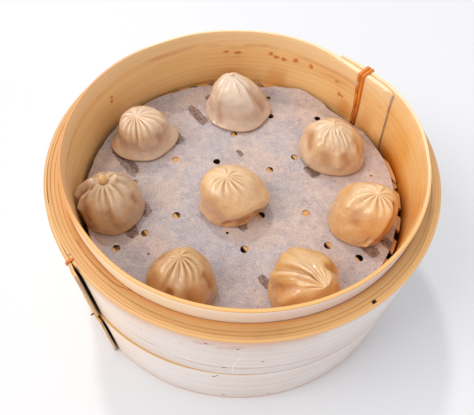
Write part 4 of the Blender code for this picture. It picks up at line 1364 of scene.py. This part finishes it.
def over_rim(low_angle, top_angle, foot, inner, outer, top, drop, thickness):
    """A strand up the inside of a wall, over its edge and down its outside, with thin ends."""
    half = 0.5 * thickness
    rise, bend, fall = 24, 8, 6
    points = []
    for step in range(rise + 1):
        share = step / rise
        points.append((low_angle + (top_angle - low_angle) * share, inner - half,
                       foot + (top - 0.6 * half - foot) * share, -1.0, 0.0,
                       0.82 + 0.18 * share, 1.0))
    quarter = [math.radians(90.0 * step / bend) for step in range(1, bend + 1)]
    for sine, cosine in ((math.sin(turn), math.cos(turn)) for turn in quarter):
        points.append((top_angle, inner - half * cosine + 0.3 * half,
                       top + half * sine - 0.6 * half * (1.0 - sine), -cosine, sine, 1.0, 1.0))
    for sine, cosine in ((math.sin(turn), math.cos(turn)) for turn in quarter):
        points.append((top_angle, outer + half * sine - 0.3 * half * cosine,
                       top + half * cosine - 0.6 * half * (1.0 - cosine), sine, cosine, 1.0, 1.0))
    for step in range(1, fall + 1):
        points.append((top_angle, outer + half, top - half - (drop - half) * step / fall,
                       1.0, 0.0, 1.0, 1.0))
    for index, share in ((0, 0.55), (1, 0.85), (-1, 0.55), (-2, 0.85)):
        points[index] = (*points[index][:5], share, share)
    return points


def settle(points):
    """Hold a strand against the inner wall, which steps in below its top."""
    held = []
    for degrees, radius, height, face_out, *rest in points:
        if face_out == -1.0:
            turned = degrees if degrees > INNER_WALL[0][0] else degrees + 360.0
            radius = at_station(INNER_WALL, turned)[0] - 0.5 * CANE_THICKNESS
        held.append((degrees, radius, height, face_out, *rest))
    return held


def build_ties(cane):
    tree = strand_tree()
    foot = MAT_TOP - 2.0 * MM
    inside = at_station(INNER_WALL, TIE_ANGLE)[0]
    outside = at_station(INNER_WALL, TIE_ANGLE + 360.0)[1] + 0.1 * MM
    right, left = (over_rim(low, high, foot, inside, outside, RIM_TOP, TIE_DROP, CANE_THICKNESS)
                   for low, high in STRAND_ANGLES)
    degrees, radius, height, *facing = left[BREAK_STEP][:5]
    lower = left[:BREAK_STEP] + [(degrees, radius, height - BREAK_HALF, *facing, 0.8, 0.7)]
    upper = [(degrees, radius, height + BREAK_HALF, *facing, 0.85, 0.75)] + left[BREAK_STEP + 1:]
    for name, points, replaced in (("cane_strand_right", right, "cane_tie_right"),
                                   ("cane_strand_left_low", lower, "cane_tie_left"),
                                   ("cane_strand_left_top", upper, "cane_tie_left")):
        piece = grow(name, tree, strand_path(settle(points)), cane, Width=CANE_WIDTH,
                     Thickness=CANE_THICKNESS, Wander=0.35 * MM)
        lean_rim(piece)
        close_skin(piece, 60.0)
        finish_piece(piece, "cane", replaced)

    seam_angle, reach, thickness = 224.0, 1.8 * MM, 0.9 * MM
    band_inside = at_station(UPPER_BAND, seam_angle)[0] + 0.9 * MM
    band_outside = at_station(UPPER_BAND, seam_angle + 360.0)[1]
    points = over_rim(seam_angle, seam_angle, LEDGE_TOP - reach, band_inside, band_outside,
                      LEDGE_TOP, reach, thickness)
    piece = grow("seam_strand", tree, strand_path(points), cane, Width=1.5 * MM,
                 Thickness=thickness, Wander=0.4 * MM)
    close_skin(piece, 60.0)
    finish_piece(piece, "cane", "seam_tie")


def build_peg():
    """The rounded end of the peg that pins the seam."""
    middle = Vector([0.5 * (a + b) for a, b in zip(*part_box("seam_peg"))])
    axis = Vector((middle.x, middle.y, 0.0)).normalized()
    side = Vector((-axis.y, axis.x, 0.0))
    builder = bmesh.new()
    rings = []
    for out, wide in PEG_PROFILE:
        ring = []
        for step in range(PEG_SIDES):
            turn = math.tau * step / PEG_SIDES
            wobble = 1.0 + 0.12 * math.sin(2.0 * turn + out) + 0.06 * math.sin(5.0 * turn)
            spoke = side * math.cos(turn) + Vector((0.0, 0.0, math.sin(turn)))
            ring.append(builder.verts.new(middle + axis * out * MM + spoke * wide * wobble * MM))
        rings.append(ring)
    for near, far in zip(rings, rings[1:]):
        for step in range(PEG_SIDES):
            after = (step + 1) % PEG_SIDES
            builder.faces.new((near[step], near[after], far[after], far[step]))
    builder.faces.new(rings[0][::-1])
    builder.faces.new(rings[-1])
    mesh = bpy.data.meshes.new("seam_peg_end")
    builder.to_mesh(mesh)
    builder.free()
    mesh.materials.append(peg_material())
    piece = place("seam_peg_end", mesh)
    close_skin(piece, 50.0)
    finish_piece(piece, "cane", "seam_peg")


# ---------------------------------------------------------------- dumplings

def body_profile(spec, radius, height):
    """(radius share, height share) from the foot to the knot, evenly spaced along the skin."""
    crown = spec["crown"]
    turn = np.linspace(0.0, math.pi / 2.0, FOOT_POINTS)
    foot = np.stack([0.9 + 0.1 * np.sin(turn), SKIRT_EDGE * (1.0 - np.cos(turn))], 1)
    step = np.linspace(0.0, 1.0, SKIRT_POINTS)[1:]
    skirt = np.stack([1.0 - (1.0 - crown) * (1.0 - (1.0 - step) ** spec["flange"]),
                      SKIRT_EDGE + (CROWN_START - SKIRT_EDGE) * step], 1)
    turn = np.linspace(0.0, math.pi / 2.0, DOME_POINTS)[1:]
    dome = np.stack([crown * np.cos(turn) ** (2.0 / spec["full"]),
                     CROWN_START + (1.0 - CROWN_START) * np.sin(turn) ** (2.0 / spec["full"])], 1)
    if "knob" in spec:
        neck, ball, tall = (size * MM for size in spec["knob"])
        dome = dome[dome[:, 0] * radius > neck + 1.2 * MM]
        neck_level = 1.0 - tall / height
        dome[:, 1] = CROWN_START + (dome[:, 1] - CROWN_START) * (
            (neck_level - CROWN_START) / (dome[-1, 1] - CROWN_START))
        turn = np.linspace(-0.9, math.pi / 2.0, BALL_POINTS)
        bulb = np.stack([ball * np.cos(turn) / radius,
                         1.0 + ball * (np.sin(turn) - 1.0) / height], 1)
        dome = np.concatenate([dome, [[neck / radius, neck_level + 0.012]], bulb])
    skin = np.concatenate([foot, skirt, dome])
    length = np.concatenate([[0.0], np.cumsum(np.hypot(*np.diff(skin, axis=0).T))])
    neck_at = length[-BALL_POINTS - 1] if "knob" in spec else length[-1]
    even = np.linspace(0.0, length[-1], RINGS + 1)
    return (np.interp(even, length, skin[:, 0]), np.interp(even, length, skin[:, 1]),
            1.0 - even / neck_at)


def gather(turn, along, folds):
    """Where each point lies across its fold, and how deep the creases beside it are pressed."""
    start, bend, reach, depth = (np.array(column, dtype=float) for column in zip(*folds))
    crease = (np.radians(start) + np.radians(bend) * ease(along[:, None], 0.06, 0.5)) % math.tau
    past = (turn[:, None] - crease) % math.tau
    short = (crease - turn[:, None]) % math.tau
    before, after = past.argmin(axis=1), short.argmin(axis=1)
    point = np.arange(len(turn))
    room = past[point, before] + short[point, after]
    share = np.clip(past[point, before] / np.maximum(room, 1e-6), 0.0, 1.0)
    press = depth * MM * (1.0 - ease(along[:, None], reach * 0.5, reach))
    strength = (1.0 - share) * press[point, before] + share * press[point, after]
    return share, strength * ease(along, 0.0, 0.15)


def turned_from(turn, degrees):
    """Signed angles from one plan angle, the short way round."""
    return (turn - math.radians(degrees) + math.pi) % math.tau - math.pi


def dome_mesh(name, middle, radii, height, spec):
    """A closed dome of dough whose points know their turn and their way from the knot."""
    out, up, along = body_profile(spec, radii[0], height)
    turn = np.arange(COLUMNS) * (math.tau / COLUMNS)
    dice = np.random.default_rng(spec["seed"])
    lobes = np.zeros(COLUMNS)
    for waves in (2, 3, 4, 5):
        lobes += dice.uniform(0.006, 0.022) * np.sin(waves * turn + dice.uniform(0.0, 6.3))
    swell = np.zeros(COLUMNS)
    for degrees, spread, amount in spec["foot"]:
        swell += amount * np.exp(-(turned_from(turn, degrees) / math.radians(spread)) ** 2)
    lean = np.array(spec["lean"]) * MM
    rows = [(share, 0.0, 1.0) for share in UNDERSIDE]
    rows += list(zip(out, up, along))[:RINGS]
    points = [(middle[0], middle[1], DUMPLING_FLOOR)]
    turns, ways = [0.0], [1.0]
    for share, rise, way in rows:
        shift = lean * rise ** 1.5
        low = 1.0 - smooth(rise, 0.08, 0.42)
        wide = share * (1.0 + lobes * (1.0 - 0.7 * rise) + swell * low)
        x = middle[0] + shift[0] + radii[0] * wide * np.cos(turn)
        y = middle[1] + shift[1] + radii[1] * wide * np.sin(turn)
        points.extend(zip(x, y, np.full(COLUMNS, DUMPLING_FLOOR + height * rise)))
        turns.extend(turn)
        ways.extend([way] * COLUMNS)
    last = len(points)
    points.append((middle[0] + lean[0], middle[1] + lean[1], DUMPLING_FLOOR + height))
    turns.append(0.0)
    ways.append(0.0)
    faces = []
    top = 1 + (len(rows) - 1) * COLUMNS
    for column in range(COLUMNS):
        beside = (column + 1) % COLUMNS
        faces.append((0, 1 + beside, 1 + column))
        for low in range(1, top, COLUMNS):
            faces.append((low + column, low + beside, low + COLUMNS + beside,
                          low + COLUMNS + column))
        faces.append((top + column, top + beside, last))
    points, turns, ways = np.array(points), np.array(turns), np.array(ways)
    if "tip" in spec:
        *shift, reach = spec["tip"]
        pull = (1.0 - np.clip(ways / reach, 0.0, 1.0)) ** 1.6
        points = points + pull[:, None] * np.array(shift) * MM
    mesh = bpy.data.meshes.new(name)
    mesh.from_pydata(points.tolist(), [], faces)
    share, strength = gather(turns, ways, spec["folds"])
    write_numbers(mesh, turn=turns, along=ways, share=share, strength=strength)
    return mesh


def route_distance(points, route):
    """Distance of each point from a chain of points."""
    if len(route) == 1:
        return np.linalg.norm(points - route[0], axis=1)
    nearest = np.full(len(points), np.inf)
    for start, end in zip(route, route[1:]):
        way = end - start
        share = np.clip((points - start) @ way / max(way @ way, 1e-12), 0.0, 1.0)
        nearest = np.minimum(nearest, np.linalg.norm(points - start - share[:, None] * way, axis=1))
    return nearest


def press_marks(mesh, marks):
    """Presses marks in or draws them out. Returns how many mm each point went in."""
    points, normals = mesh_points(mesh), mesh_normals(mesh)
    turn, along = mesh_numbers(mesh, "turn"), mesh_numbers(mesh, "along")
    depths = np.zeros(len(points))
    drawn = np.zeros((len(points), 3))
    for route, width, depth, *pull in marks:
        chain = [points[np.argmin(np.abs(turned_from(turn, degrees)) + 3.0 * np.abs(along - way))]
                 for degrees, way in route]
        distance = route_distance(points, chain) / (width * MM)
        amount = depth * MM * np.exp(-distance ** 2)
        depths -= amount
        drawn += amount[:, None] * (np.array(pull[0]) if pull else normals)
    held = 1.0 - ease(along, *FOOT_HELD)
    moved_points = points + drawn * held[:, None]
    moved_points[:, 2] = np.maximum(moved_points[:, 2], DUMPLING_FLOOR)
    mesh.vertices.foreach_set("co", moved_points.ravel())
    mesh.update()
    return depths * held / MM


def build_dumplings(dough):
    tree = pleat_tree()
    for name, spec in DUMPLINGS.items():
        low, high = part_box(name)
        middle = [0.5 * (low[axis] + high[axis]) for axis in (0, 1)]
        radii = [0.5 * (high[axis] - low[axis]) for axis in (0, 1)]
        mesh = dome_mesh(name, middle, radii, high[2] - low[2], spec)
        broad = press_marks(mesh, [mark for mark in spec["marks"] if mark[1] > FINE_MARK])
        height, width = spec["knot"]
        piece = grow(name + "_dough", tree, mesh, dough, Skew=spec["skew"], Soft=spec["soft"],
                     Knot_Height=height * MM, Knot_Width=width, Lump=0.9 * MM)
        fine = press_marks(piece.data, [mark for mark in spec["marks"] if mark[1] <= FINE_MARK])
        along = mesh_numbers(piece.data, "along")
        everywhere = {label: np.full(len(along), spec[label]) for label in ("warm", "grey", "deep")}
        write_numbers(piece.data, **everywhere, pressed=broad + fine,
                      raised=np.maximum(-fine, 0.0), thin=ease(along, 0.1, 0.6),
                      rim=spec["skirt"] * ease(along, 0.6, 0.85))
        close_skin(piece, 180.0)
        finish_piece(piece, "dough", name)


# ---------------------------------------------------------------- room

def build_room():
    floor = place("pale_floor", bpy.data.meshes.new("pale_floor"))
    corners = [(-FLOOR_HALF, -FLOOR_HALF), (FLOOR_HALF, -FLOOR_HALF), (FLOOR_HALF, FLOOR_HALF),
               (-FLOOR_HALF, FLOOR_HALF)]
    floor.data.from_pydata([(x, y, 0.0) for x, y in corners], [], [(0, 1, 2, 3)])
    floor.data.materials.append(floor_material())

    scene = bpy.context.scene
    lens = bpy.data.cameras.new("view")
    lens.lens = CAMERA_LENS
    lens.sensor_width = 36.0
    camera = place("view", lens)
    camera.matrix_world = (
        Matrix.Translation((0.0, -CAMERA_SETBACK, CAMERA_HEIGHT))
        @ Matrix.Rotation(math.radians(CAMERA_HEADING), 4, "Z")
        @ Matrix.Rotation(math.radians(90.0 - CAMERA_DROP), 4, "X")
        @ Matrix.Rotation(math.radians(CAMERA_ROLL), 4, "Z"))
    scene.camera = camera

    for name, spot, size, power, tint in LIGHTS:
        lamp = bpy.data.lights.new(name, "AREA")
        lamp.size = size
        lamp.energy = power
        lamp.color = tint
        light = place(name, lamp)
        light.location = spot
        light.rotation_euler = (-Vector(spot)).to_track_quat("-Z", "Y").to_euler()
    world = bpy.data.worlds.new("pale_room")
    world.use_nodes = True
    backdrop = world.node_tree.nodes["Background"]
    backdrop.inputs["Color"].default_value = SKY_COLOR
    backdrop.inputs["Strength"].default_value = SKY_STRENGTH
    scene.world = world
    scene.view_settings.view_transform = "Standard"


def main():
    grain, mottle, spot = ring_grain_group(), mottle_group(), spot_group()
    strips = wound_strip_tree()
    ledge = ledge_material(grain)
    build_walls(strips, grain, spot, ledge)
    build_mat(strips, grain, ledge)
    build_liner(paper_material(mottle, spot))
    build_ties(cane_material(spot))
    build_peg()
    build_dumplings(dough_material(mottle))
    build_room()


main()
